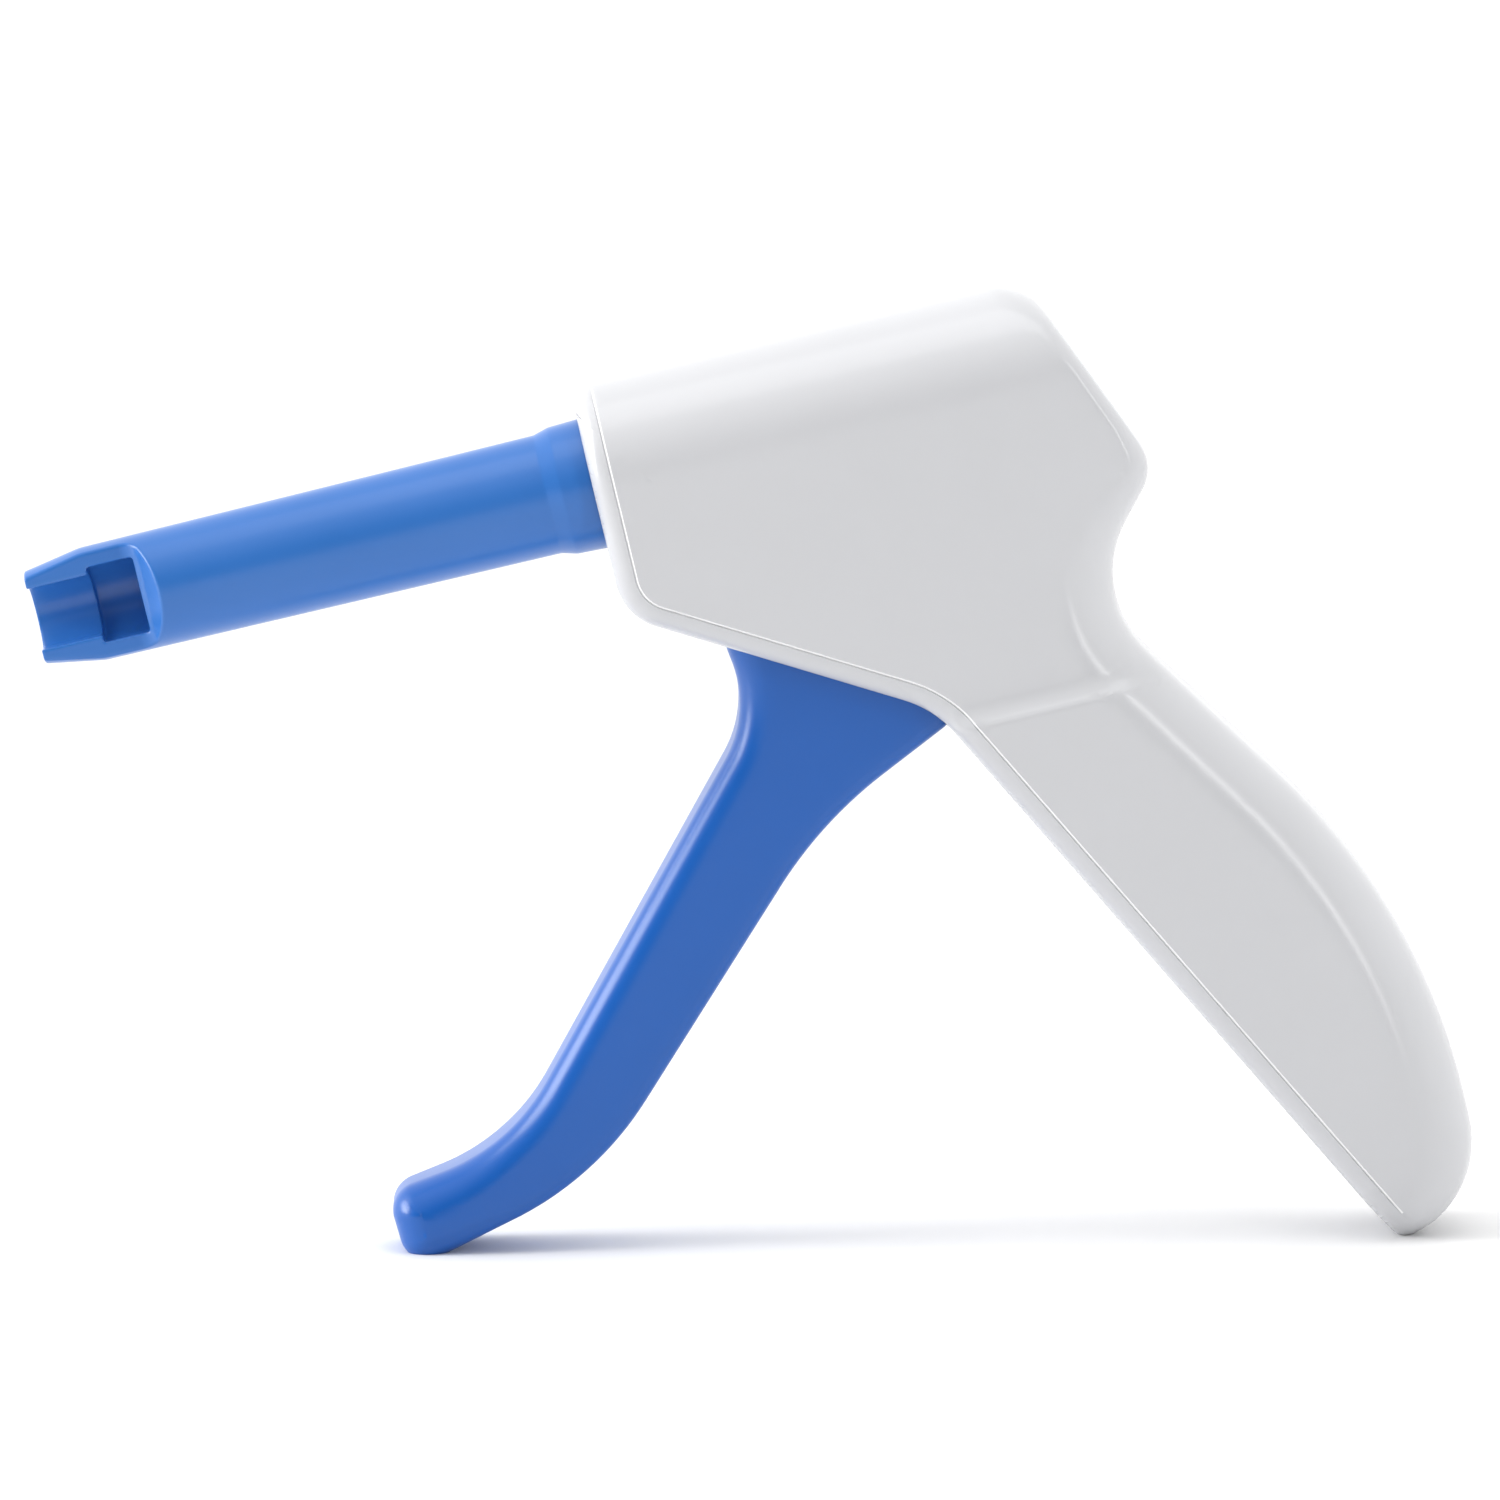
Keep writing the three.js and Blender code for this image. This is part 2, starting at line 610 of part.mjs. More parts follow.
const blockBack = THRUST_U + BLOCK_HALF.u;
place('rear_bumper', axial(blockBack + GAP, GUIDE_RIB.start - GAP, BUMPER_R, TAIL_R + GAP), 'rubber');
place('rear_guide_bush', axial(GUIDE_RIB.start, GUIDE_RIB.end, GUIDE_BUSH_R, TAIL_R + GAP), 'bronze');

place('trigger', trigger(), 'blueAbs');
place('trigger_pivot_pin', crossBar(PIVOT.u, PIVOT.v, -PIVOT_PIN_END, PIVOT_PIN_END, PIVOT_PIN_R), 'steel');
place('pivot_bush_left', pivotBush(-1), 'acetal');
place('pivot_bush_right', pivotBush(1), 'acetal');

// The origin is on the floor, under the middle of the gun.
gun.updateMatrixWorld(true);
const extent = new THREE.Box3().setFromObject(gun, true);
tipped.position.set(-(extent.min.x + extent.max.x) / 2, 0, -extent.min.z);

export default gun;
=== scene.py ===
"""A capsule dispensing gun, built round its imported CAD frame.

Shapes are laid out in the gun's own frame, in millimetres: u runs back along the barrel's axis from
the front of the shell, v runs up across it, and y runs from the left side to the right.
"""

import json
import math

import bmesh
import bpy
import numpy as np
from mathutils import Matrix, Vector
from mathutils.geometry import delaunay_2d_cdt
from mathutils.kdtree import KDTree


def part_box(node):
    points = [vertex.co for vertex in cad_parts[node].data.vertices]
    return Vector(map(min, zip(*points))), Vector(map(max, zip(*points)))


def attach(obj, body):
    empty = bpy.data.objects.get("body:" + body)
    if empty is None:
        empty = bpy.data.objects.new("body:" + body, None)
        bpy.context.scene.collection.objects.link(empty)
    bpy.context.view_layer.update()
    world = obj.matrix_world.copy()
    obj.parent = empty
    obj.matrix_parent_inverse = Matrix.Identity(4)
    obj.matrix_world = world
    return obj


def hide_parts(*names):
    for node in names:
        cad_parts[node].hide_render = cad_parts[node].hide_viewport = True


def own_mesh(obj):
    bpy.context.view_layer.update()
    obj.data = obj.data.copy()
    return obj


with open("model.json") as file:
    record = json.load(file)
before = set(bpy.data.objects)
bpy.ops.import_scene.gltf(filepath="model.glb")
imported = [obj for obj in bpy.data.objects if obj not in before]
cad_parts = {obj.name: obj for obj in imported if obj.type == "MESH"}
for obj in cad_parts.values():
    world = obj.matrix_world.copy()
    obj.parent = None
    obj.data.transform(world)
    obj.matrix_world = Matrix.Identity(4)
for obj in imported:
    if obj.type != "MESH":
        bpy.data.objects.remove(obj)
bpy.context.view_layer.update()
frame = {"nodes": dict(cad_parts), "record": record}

MM = 0.001
JOINTS = {j["name"]: j for j in frame["record"]["behaviour"]["joints"]}

# ---- The gun's own frame ------------------------------------------------------------------------

SWIVEL = JOINTS["barrel_swivel"]
ORIGIN = np.array(SWIVEL["pos_m"])
ALONG = -np.array(SWIVEL["axis"]) / np.linalg.norm(SWIVEL["axis"])
ACROSS = np.array([0.0, 1.0, 0.0])
UP = np.cross(ALONG, ACROSS)


def to_world(points):
    """Carries (u, y, v) points in millimetres into the row's frame in metres."""
    p = np.asarray(points, float)
    return ORIGIN + MM * (p[:, :1] * ALONG + p[:, 1:2] * ACROSS + p[:, 2:3] * UP)


def to_gun(point):
    """Carries one point of the row's frame, in metres, into (u, y, v) in millimetres."""
    d = (np.asarray(point, float) - ORIGIN) / MM
    return float(d @ ALONG), float(d @ ACROSS), float(d @ UP)


PIVOT_U, _, PIVOT_V = to_gun(JOINTS["trigger_pull"]["pos_m"])
PULL = math.radians(JOINTS["trigger_pull"]["range_deg"][1])
THRUST_U = PIVOT_U - PIVOT_V * math.tan(PULL / 2)

# ---- Dimensions in millimetres ------------------------------------------------------------------

GAP = 0.3
SEAM = 0.04  # half of the parting line's width
BODY_HALF = 10.3
GRIP_HALF = 11.5
WALL = 2.0
RIM = 2.1  # rounding along the front, the underside and the grip's front
TIP_RIM = 4.4  # that rounding at the grip's tip
# The step down to the rim: distance in from the rim's inner edge, and depth below the panel.
GROOVE = [(-0.11, 0.13), (-0.05, 0.26), (0.02, 0.26), (0.21, 0.0)]
LINE_END = 3.4  # the step's face with the painted highlight stops this far from the back's edge
GROOVE_AT, GROOVE_DEPTH = zip(*GROOVE)
SWELL_TOP = -30.3
SWELL_BOTTOM = -33.0

TRIGGER_HALF = 6.5

FRONT_U = 0.15
TOP_V = BODY_HALF
BODY_CORNERS = [
    (FRONT_U, TOP_V, 2.4),
    (48.2, TOP_V, 4.2),
    (57.05, -11.08, 5),
    (47.25, -22.86, 11.5),
    (73.3, -62.2, 68),
    (73.3, -92.5, 11),
    (63.61, -96.58, 2.4),
    (29.1, -30.36, 12),
    (FRONT_U, -13.42, 6),
]
TRIGGER_CORNERS = [
    (-38.15, -66.81, 3),
    (-37.65, -75.27, 2.8),
    (-16.16, -69.85, 34),
    (14.99, -39.29, 45),
    (31.5, -31.85, 3.2),
    (29.5, -14, 3.2),
    (13.2, -8.6, 3.2),
    (8.98, -15.89, 13.45),
    (10.67, -26.47, 12),
    (-24.4, -64.91, 21.5),
]
# The opening in the shell's underside that the trigger swings in.
SLOT_CORNERS = [(9.25, -13), (9.25, -45), (28, -45), (31, -39.4), (35.5, -37.1), (35.5, -13)]

SCREW_R = 2.6
SCREW_SEAT = 8.0  # the head's underside lies this far out
SCREWS = [f"housing_screw_{i}" for i in range(1, 6)]


def centre_of(node):
    """The middle of a node's box, as (u, y, v) in millimetres."""
    low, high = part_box(node)
    return to_gun([(a + b) / 2 for a, b in zip(low, high)])


SCREW_PLACES = [(centre_of(n)[0], centre_of(n)[2]) for n in SCREWS]

# ---- Outlines -----------------------------------------------------------------------------------


def rounded(corners, closed=True, error=0.004):
    """Rounds each corner (x, y, radius) with an arc tangent to both of its edges."""
    points = [np.array(c[:2], float) for c in corners]
    outline = []
    for i, corner in enumerate(corners):
        here = points[i]
        radius = corner[2] if len(corner) > 2 else 0
        at_end = not closed and i in (0, len(corners) - 1)
        if radius == 0 or at_end:
            outline.append(here)
            continue
        back = points[i - 1] - here
        ahead = points[(i + 1) % len(points)] - here
        back /= np.linalg.norm(back)
        ahead /= np.linalg.norm(ahead)
        half = math.acos(np.clip(back @ ahead, -1, 1)) / 2
        bisector = (back + ahead) / np.linalg.norm(back + ahead)
        centre = here + bisector * radius / math.sin(half)
        start = here + back * radius / math.tan(half) - centre
        lean = here - centre
        side = math.copysign(1, start[0] * lean[1] - start[1] * lean[0])
        turn = side * (math.pi - 2 * half)
        steps = max(2, math.ceil(abs(turn) / (2 * math.acos(1 - min(error / radius, 0.5)))))
        for angle in np.linspace(0, turn, steps + 1):
            c, s = math.cos(angle), math.sin(angle)
            outline.append(centre + [c * start[0] - s * start[1], s * start[0] + c * start[1]])
    return np.array(outline)


def inset(corners, distance, least_radius=0.3):
    """Moves every edge of a clockwise outline inwards."""
    moved = []
    for i, (x, y, radius) in enumerate(corners):
        here = np.array([x, y], float)
        along = here - np.array(corners[i - 1][:2], float)
        onward = np.array(corners[(i + 1) % len(corners)][:2], float) - here
        along /= np.linalg.norm(along)
        onward /= np.linalg.norm(onward)
        bend = along[0] * onward[1] - along[1] * onward[0]
        inward = np.array([along[1] + onward[1], -along[0] - onward[0]])
        inward *= distance / math.cos(math.asin(bend) / 2) / np.linalg.norm(inward)
        new_radius = max(radius - distance, least_radius) if bend < 0 else radius + distance
        moved.append((*(here + inward), new_radius))
    return moved


def extended(start, toward, reach):
    """The point that lies reach beyond start on the line that comes from toward."""
    a, b = np.array(start[:2], float), np.array(toward[:2], float)
    return tuple(a + (a - b) / np.linalg.norm(a - b) * reach)


class Chain:
    """A run of edges, with the distance to it and the place along it."""

    BATCH = 4000  # points measured at a time
    STRIDE = 0.05  # half of the stretch that gives the direction at a place

    def __init__(self, points):
        self.points = np.asarray(points, float)
        self.steps = np.diff(self.points, axis=0)
        self.lengths = np.linalg.norm(self.steps, axis=1)
        self.at = np.concatenate([[0], np.cumsum(self.lengths)])

    def nearest(self, points):
        """Distance to the chain, and the place along it, for each (x, y)."""
        p = np.asarray(points, float)
        distance, place = np.empty(len(p)), np.empty(len(p))
        for low in range(0, len(p), self.BATCH):
            batch = slice(low, low + self.BATCH)
            q = p[batch, None, :] - self.points[None, :-1, :]
            t = np.clip((q * self.steps).sum(-1) / self.lengths**2, 0, 1)
            gap = np.linalg.norm(q - t[..., None] * self.steps, axis=-1)
            best = gap.argmin(1)
            rows = np.arange(len(best))
            distance[batch] = gap[rows, best]
            place[batch] = self.at[best] + t[rows, best] * self.lengths[best]
        return distance, place

    def point(self, places):
        """The points at the given places along the run."""
        return np.stack([np.interp(places, self.at, column) for column in self.points.T], 1)

    def sample(self, places):
        """Points at the given places, and the unit normals to the left of the run."""
        places = np.asarray(places, float)
        ahead = self.point(places + self.STRIDE) - self.point(places - self.STRIDE)
        normals = np.stack([-ahead[:, 1], ahead[:, 0]], 1)
        return self.point(places), normals / np.linalg.norm(normals, axis=1)[:, None]


# ---- Meshes -------------------------------------------------------------------------------------

MERGE_WITHIN = 1e-7
SHORTEST_EDGE = 1e-8
CLOSE = 0.02  # points nearer than this, in millimetres, count as one
FOLDED = 0.01  # a point this much too near to the curve that it was moved from is left out


def link(name, data):
    """A new object in the scene."""
    obj = bpy.data.objects.new(name, data)
    bpy.context.scene.collection.objects.link(obj)
    return obj


def new_object(name, points, faces):
    """An object from points in the gun's frame, with its faces turned outwards."""
    mesh = bpy.data.meshes.new(name)
    mesh.from_pydata(to_world(points).tolist(), [], faces)
    bm = bmesh.new()
    bm.from_mesh(mesh)
    bmesh.ops.remove_doubles(bm, verts=bm.verts, dist=MERGE_WITHIN)
    bmesh.ops.dissolve_degenerate(bm, edges=bm.edges, dist=SHORTEST_EDGE)
    bmesh.ops.recalc_face_normals(bm, faces=bm.faces)
    bm.to_mesh(mesh)
    bm.free()
    return link(name, mesh)


def smooth(obj, angle=30):
    """Shades an object smooth, except over edges sharper than the angle."""
    obj.data.shade_smooth()
    obj.data.set_sharp_from_angle(angle=math.radians(angle))
    return obj


def between_ends(name, low_end, high_end):
    """A closed solid between two outlines that have the same number of points."""
    n = len(low_end)
    faces = [list(range(n)), list(range(2 * n - 1, n - 1, -1))]
    faces += [[i, (i + 1) % n, n + (i + 1) % n, n + i] for i in range(n)]
    return new_object(name, [*low_end, *high_end], faces)


def prism(name, outline, y_low, y_high):
    """A side outline in (u, v), given thickness across the gun."""
    low_end, high_end = ([(u, y, v) for u, v in outline] for y in (y_low, y_high))
    return between_ends(name, low_end, high_end)


def beam(name, section, u_low, u_high):
    """A cross-section in (y, v), carried along the barrel's axis."""
    low_end, high_end = ([(u, y, v) for y, v in section] for u in (u_low, u_high))
    return between_ends(name, low_end, high_end)


def disc(radius, steps=64, centre=(0, 0)):
    """The points of a circle."""
    angles = np.linspace(0, 2 * math.pi, steps, endpoint=False)
    return np.array(centre, float) + radius * np.stack([np.cos(angles), np.sin(angles)], 1)


def rectangle(x_low, x_high, y_low, y_high):
    """The corners of a rectangle."""
    return [(x_low, y_low), (x_high, y_low), (x_high, y_high), (x_low, y_high)]


def bar(name, centre, y_low, y_high, radius):
    """A round bar across the gun."""
    return prism(name, disc(radius, 48, centre), y_low, y_high)


def turned(name, profile, steps, centre):
    """A turned piece, from a closed profile of (y, radius, rounding) corners.

    Its axis runs across the gun through centre, a point (u, v).
    """
    profile = rounded(profile, error=0.006)
    count = len(profile)
    points = []
    for angle in np.linspace(0, 2 * math.pi, steps, endpoint=False):
        c, s = math.cos(angle), math.sin(angle)
        points += [(centre[0] + r * c, y, centre[1] + r * s) for y, r in profile]
    faces = []
    for k in range(steps):
        for i in range(count):
            a, b = k * count + i, k * count + (i + 1) % count
            c, d = (a + count) % len(points), (b + count) % len(points)
            faces.append([a, b, d, c])
    return new_object(name, points, faces)


def combine(base, tool, operation):
    """Joins or cuts base with tool, and removes tool."""
    modifier = base.modifiers.new("combine", "BOOLEAN")
    modifier.object = tool
    modifier.operation = operation
    modifier.solver = "MANIFOLD"
    bpy.context.view_layer.update()
    evaluated = base.evaluated_get(bpy.context.evaluated_depsgraph_get())
    made = bpy.data.meshes.new_from_object(evaluated)
    base.modifiers.clear()
    old, base.data = base.data, made
    bpy.data.meshes.remove(old)
    spare = tool.data
    bpy.data.objects.remove(tool)
    bpy.data.meshes.remove(spare)
    return base


# ---- Shell surface ------------------------------------------------------------------------------

BODY_MIDDLE_U = 30
FRONT_END_V = 16  # the front's edge runs on past the top to this height
ABOVE_TOP = 6  # the back's edge runs on past the top by this much
PAST_TIP = 12  # and both run on past the grip's tip by this much
TIP_CORNER = BODY_CORNERS[6]
FRONT_CHAIN = Chain(
    rounded(
        [(FRONT_U, FRONT_END_V), BODY_CORNERS[8], BODY_CORNERS[7]]
        + [extended(TIP_CORNER, BODY_CORNERS[7], PAST_TIP)],
        closed=False,
    )
)
BACK_CHAIN = Chain(
    rounded(
        [extended(TIP_CORNER, BODY_CORNERS[5], PAST_TIP), *BODY_CORNERS[5:1:-1]]
        + [extended(BODY_CORNERS[1], BODY_CORNERS[2], ABOVE_TOP)],
        closed=False,
    )
)
BACK_TOP = np.array(BODY_CORNERS[1][:2])
BACK_SLOPE = np.array(BODY_CORNERS[2][:2]) - BACK_TOP
BACK_SLOPE /= np.linalg.norm(BACK_SLOPE)
TIP_PLACE = FRONT_CHAIN.at[-1] - PAST_TIP
TIP_EASE = 8  # the front's rounding grows over this length before the tip
GROOVE_START = 1.5  # the groove begins this far from the back's edge
FADE = 4  # length over which the groove reaches its depth
LANDING = 0.7  # a last row of points lies this far inside the front's rounding
BACK_LANDING = 0.6  # and this far inside the back's
EDGE_STEP = 0.9  # spacing of points along the edges
FACE_STEP = 1.3  # spacing over the faces
LEAST_HOLLOW = 0.4
FRONT_RINGS = 8  # rows of points over the front's rounding
BACK_RINGS = 9  # and over the back's
# Rounding along the back, as (v, radius) from the top down.
BACK_ROUNDING = [(10, 3.6), (6, 2.2), (1, 1.6), (-6, 1.7), (-11, 2.8), (-16, 5.2), (-21, 6.6), (-120, 6.8)]


def ease(t):
    """A smooth rise from 0 to 1."""
    t = np.clip(t, 0, 1)
    return t * t * (3 - 2 * t)


def radius_at(height):
    """The rounding's radius along the back at a height v."""
    heights, radii = zip(*BACK_ROUNDING[::-1])
    return np.interp(height, heights, radii)


def front_radius(place):
    """The rounding's radius at a place along the front."""
    return RIM + (TIP_RIM - RIM) * ease((place - TIP_PLACE + TIP_EASE) / TIP_EASE)


def back_radius(place):
    """The rounding's radius at a place along the back."""
    return radius_at(np.interp(place, BACK_CHAIN.at, BACK_CHAIN.points[:, 1]))


def on_back(depth, v):
    """The point (u, v) that lies a depth inside the slope behind the top."""
    start = BACK_TOP + depth * np.array([BACK_SLOPE[1], -BACK_SLOPE[0]])
    return start[0] + BACK_SLOPE[0] * (v - start[1]) / BACK_SLOPE[1], v


def fillet(distance, radius):
    """How far a rounded edge falls below its face, at a distance in from the edge."""
    t = np.clip(radius - distance, 0, radius)
    return radius - np.sqrt(np.maximum(radius**2 - t**2, 0))


def swell(v):
    """From 0 on the body to 1 on the grip: it starts softly and ends crisply."""
    crisp = 0.85
    t = np.clip((SWELL_TOP - v) / (SWELL_TOP - SWELL_BOTTOM), 0, 1)
    rising = t**2 / crisp
    return np.where(t < crisp, rising, 1 - (1 - t) ** 2 / (1 - crisp))


def step_depth(inward, v):
    """Depth below the panel of the rim and its groove, which fade out towards the top."""
    return np.interp(inward - RIM, GROOVE_AT, GROOVE_DEPTH) * ease((TOP_V - v) / FADE)


def shell_drop(points):
    """How far the shell's side lies in from the plain section at each (u, v)."""
    front, front_place = FRONT_CHAIN.nearest(points)
    back, back_place = BACK_CHAIN.nearest(points)
    groove = step_depth(front, points[:, 1]) * ease((back - GROOVE_START) / FADE)
    rim = fillet(front, front_radius(front_place))
    return rim + groove + fillet(back, back_radius(back_place))


def shell_half(points, wall=0):
    """Half thickness at each (u, v) of the shell, or of the hollow that a wall leaves inside it."""
    p = np.asarray(points, float)
    drop = shell_drop(p) + wall
    flat = BODY_HALF + (GRIP_HALF - BODY_HALF) * swell(p[:, 1]) - drop
    arch = np.sqrt(np.maximum((BODY_HALF - drop) ** 2 - np.maximum(p[:, 1], 0) ** 2, 0))
    return np.where(p[:, 1] > 0, arch, flat)


def unroll(points):
    """Spreads the vaulted top flat, so that its rows are evenly spaced."""
    p = np.array(points, float)
    high = p[:, 1] > 0
    p[high, 1] = BODY_HALF * np.arcsin(np.clip(p[high, 1] / BODY_HALF, 0, 1))
    return p


def rolled(points):
    """Takes points that unroll() spread back to their heights."""
    p = np.array(points, float)
    high = p[:, 1] > 0
    p[high, 1] = BODY_HALF * np.sin(p[high, 1] / BODY_HALF)
    return p


def vault_points(step):
    """Points over the vaulted top, in rows along it and in columns that follow its roundings."""
    near_top, further = [1.5, 3, 5, 7], np.arange(9.5, 89, 3.5)
    start_u = FRONT_U + RIM + LANDING
    found = []
    for angle in np.radians(np.concatenate([near_top, further])):
        rise = math.cos(angle)
        radius = radius_at(BODY_HALF * rise)
        back = np.append(ring_depths(radius, BACK_RINGS)[1:], radius + BACK_LANDING)
        found += [on_back(depth, (BODY_HALF - fillet(depth, radius)) * rise) for depth in back]
        end_u = found[-1][0]
        for depth in np.append(ring_depths(RIM, FRONT_RINGS)[1:-1], RIM + LANDING):
            groove = step_depth(depth, TOP_V * rise)
            found.append((FRONT_U + depth, (BODY_HALF - fillet(depth, RIM) - groove) * rise))
        count = round((end_u - start_u) / step)
        run = np.linspace(start_u, end_u, count, endpoint=False)[1:]
        found += [(u, BODY_HALF * rise) for u in run]
    return np.array(found)


def groove_line(depth, step):
    """A line along the groove, from the grip's tip up over the front to the top."""
    low = ring_points(FRONT_CHAIN, lambda _: np.array([depth]), step, 1)
    low = low[low[:, 1] < -0.1][::-1]
    angles = np.radians(np.arange(89, 1, -2))  # from the barrel's height up to the top
    groove = step_depth(depth, TOP_V * np.cos(angles))
    reach = BODY_HALF - fillet(depth, RIM) - groove
    high = np.stack([np.full(len(angles), FRONT_U + depth), reach * np.cos(angles)], 1)
    return np.vstack([low, high])


def ring_depths(radius, count):
    """Distances in from an edge that divide its rounding evenly."""
    return radius * (1 - np.cos(np.linspace(0, math.pi / 2, count + 1)))


def shell_outline():
    """The shell's silhouette, with the front and back roundings where they meet the vault."""
    sweep = np.linspace(0, math.pi / 2, 9)
    depths, drops = 1 - np.cos(sweep), 1 - np.sin(sweep)
    front_top = np.stack([FRONT_U + RIM * depths, TOP_V - RIM * drops], 1)
    line_top = [(FRONT_U + RIM + place, TOP_V) for place in GROOVE_AT]
    front_top = np.vstack([front_top[:-1], line_top])
    radius = BACK_ROUNDING[0][1]
    rounding = zip(radius * depths[::-1], TOP_V - radius * drops[::-1])
    back_top = [on_back(depth, v) for depth, v in rounding]
    rest = rounded(BODY_CORNERS)
    in_front = rest[:, 0] < BODY_MIDDLE_U
    spacing = 0.3
    lower_front = in_front & (rest[:, 1] < front_top[0, 1] - spacing)
    lower_back = ~in_front & (rest[:, 1] < back_top[-1][1] - spacing)
    return np.vstack([front_top, back_top, rest[lower_back], rest[lower_front]])


def even(loop, step):
    """Walks a closed loop in even steps, keeping its corners' spacing below the step."""
    closed = np.vstack([loop, loop[:1]])
    made = []
    for a, b in zip(closed[:-1], closed[1:]):
        count = max(1, round(float(np.linalg.norm(b - a)) / step))
        made += [a + (b - a) * k / count for k in range(count)]
    return np.array(made)


def inside(points, loop):
    """Whether each point lies inside a closed loop."""
    x, y = points[:, 0][:, None], points[:, 1][:, None]
    x0, y0 = loop[:, 0], loop[:, 1]
    x1, y1 = np.roll(x0, -1), np.roll(y0, -1)
    crosses = (y0 > y) != (y1 > y)
    with np.errstate(divide="ignore", invalid="ignore"):
        reach = (x1 - x0) * (y - y0) / (y1 - y0) + x0
    return (crosses & (x < reach)).sum(1) % 2 == 1


def ring_points(chain, depths_at, step, side):
    """Points on curves that run alongside a chain, dropping those that fold over."""
    counts = np.maximum(1, np.round(chain.lengths / step)).astype(int)
    runs = [np.linspace(a, b, n, endpoint=False) for a, b, n in zip(chain.at, chain.at[1:], counts)]
    places = np.concatenate(runs)
    on, normal = chain.sample(places)
    found = []
    for depths in np.array([depths_at(p) for p in places]).T:
        moved = on + side * normal * depths[:, None]
        gap, _ = chain.nearest(moved)
        keep = gap > depths - FOLDED
        found.append(moved[keep & (depths > 0)])
    return np.vstack(found)


def thin_out(fixed, extra, spacing):
    """The extra points that are at least spacing away from every fixed one."""
    tree = KDTree(len(fixed))
    for i, (x, y) in enumerate(fixed):
        tree.insert((x, y, 0), i)
    tree.balance()
    return np.array([p for p in extra if tree.find((p[0], p[1], 0))[2] > spacing])


def triangulated(outline, interior, creases=(), longest=2):
    """Triangles over an outline, through the interior points and along the creases."""
    points = [Vector(p) for p in np.vstack([outline, interior, *creases])]
    n = len(outline)
    edges = [(i, (i + 1) % n) for i in range(n)]
    start = n + len(interior)
    for crease in creases:
        steps = np.linalg.norm(np.diff(crease, axis=0), axis=1)
        edges += [(start + i, start + i + 1) for i in range(len(crease) - 1) if steps[i] < longest]
        start += len(crease)
    made, _, faces, origins, _, _ = delaunay_2d_cdt(points, edges, [], 1, MERGE_WITHIN)
    return np.array([tuple(p) for p in made]), [list(f) for f in faces], origins


def grid_of(us, vs):
    """Every (u, v) of a grid."""
    return np.array([(u, v) for u in us for v in vs])


def boundary_of(faces):
    """Directed edges that belong to one face only."""
    seen = {(f[i], f[(i + 1) % len(f)]) for f in faces for i in range(len(f))}
    return [(a, b) for a, b in seen if (b, a) not in seen]


def between_surfaces(name, flat, faces, low, high):
    """A closed solid over a triangulated region, from y = low to y = high at each point."""
    n = len(flat)
    points = [(p[0], y, p[1]) for p, y in zip(flat, high)]
    points += [(p[0], y, p[1]) for p, y in zip(flat, low)]
    solid = faces + [[n + i for i in reversed(f)] for f in faces]
    solid += [[b, a, n + a, n + b] for a, b in boundary_of(faces)]
    return new_object(name, points, solid)


def on_side(name, flat, faces, inner, outer, side):
    """A solid from y = inner to y = outer at each point, on the left (-1) or the right (1)."""
    inner = np.full(len(flat), inner)
    low, high = (inner, outer) if side > 0 else (-outer, -inner)
    return between_surfaces(name, flat, faces, low, high)


def front_depths(place):
    """Depths of the rows of points over the front's rounding, at a place along it."""
    radius = front_radius(place)
    return np.append(ring_depths(radius, FRONT_RINGS)[:-1], radius + LANDING)


def back_depths(place):
    """Depths of the rows of points over the back's rounding, at a place along it."""
    return ring_depths(back_radius(place), BACK_RINGS)


def shell_points(step):
    """Points over the shell's side: on its roundings, its top, its swell and the plain parts."""
    front = ring_points(FRONT_CHAIN, front_depths, EDGE_STEP, 1)
    back = ring_points(BACK_CHAIN, back_depths, EDGE_STEP, 1)
    rings = np.vstack([front, back])
    found = np.vstack([rings[rings[:, 1] < 0.1], vault_points(step)])
    bands = np.linspace(SWELL_TOP + 0.4, SWELL_BOTTOM - 0.3, 12)
    swells = grid_of(np.arange(29, 60, step), bands)
    found = np.vstack([found, thin_out(found, swells, 0.25)])
    plain = grid_of(np.arange(0.3, 74, step), np.arange(-98, 0.1, step))
    return np.vstack([found, thin_out(found, plain, 0.55)])


def shell_half_solid(name, side):
    """One solid half of the pistol, from the parting line out to the left (-1) or right (1)."""
    outline = even(shell_outline(), EDGE_STEP)
    interior = shell_points(FACE_STEP)
    interior = thin_out(outline, interior[inside(interior, outline)], CLOSE)
    below_top = BODY_HALF - shell_drop(interior) - interior[:, 1]
    interior = interior[below_top > CLOSE / 10]
    creases = [groove_line(depth, EDGE_STEP) for depth in RIM + np.array(GROOVE_AT)]
    creases = [line[inside(line, outline)] for line in creases]
    interior = thin_out(np.vstack(creases), interior, CLOSE)
    flat, faces, _ = triangulated(unroll(outline), unroll(interior), [unroll(c) for c in creases])
    flat = rolled(flat)
    half = np.maximum(shell_half(flat), SEAM + 0.01)
    return on_side(name, flat, faces, SEAM, half, side)


def hollow(side):
    """The space inside the shell, on one side of the parting line and a little beyond it."""
    step = 1.9
    outline = even(rounded(inset(BODY_CORNERS, WALL), error=0.02), 1.5)
    grid = grid_of(np.arange(2, 72, step), np.arange(-95, 8, step))
    grid = grid[inside(grid, outline)]
    flat, faces, _ = triangulated(outline, thin_out(outline, grid, 0.9))
    half = np.maximum(shell_half(flat, WALL), LEAST_HOLLOW)
    return on_side("hollow", flat, faces, -0.5, half, side)


INTO_WALL = 9
SEAT_START, SEAT_END, SEAT_R = 1, 8.6, 9
RIB = rectangle(35.4, 37.4, -7, 8.6)
PAD_START, PAD_R = TRIGGER_HALF + 1.1, 5
BOSS_END, BOSS_R = 9.7, 3.8
BARREL_HOLE_R = 7.05
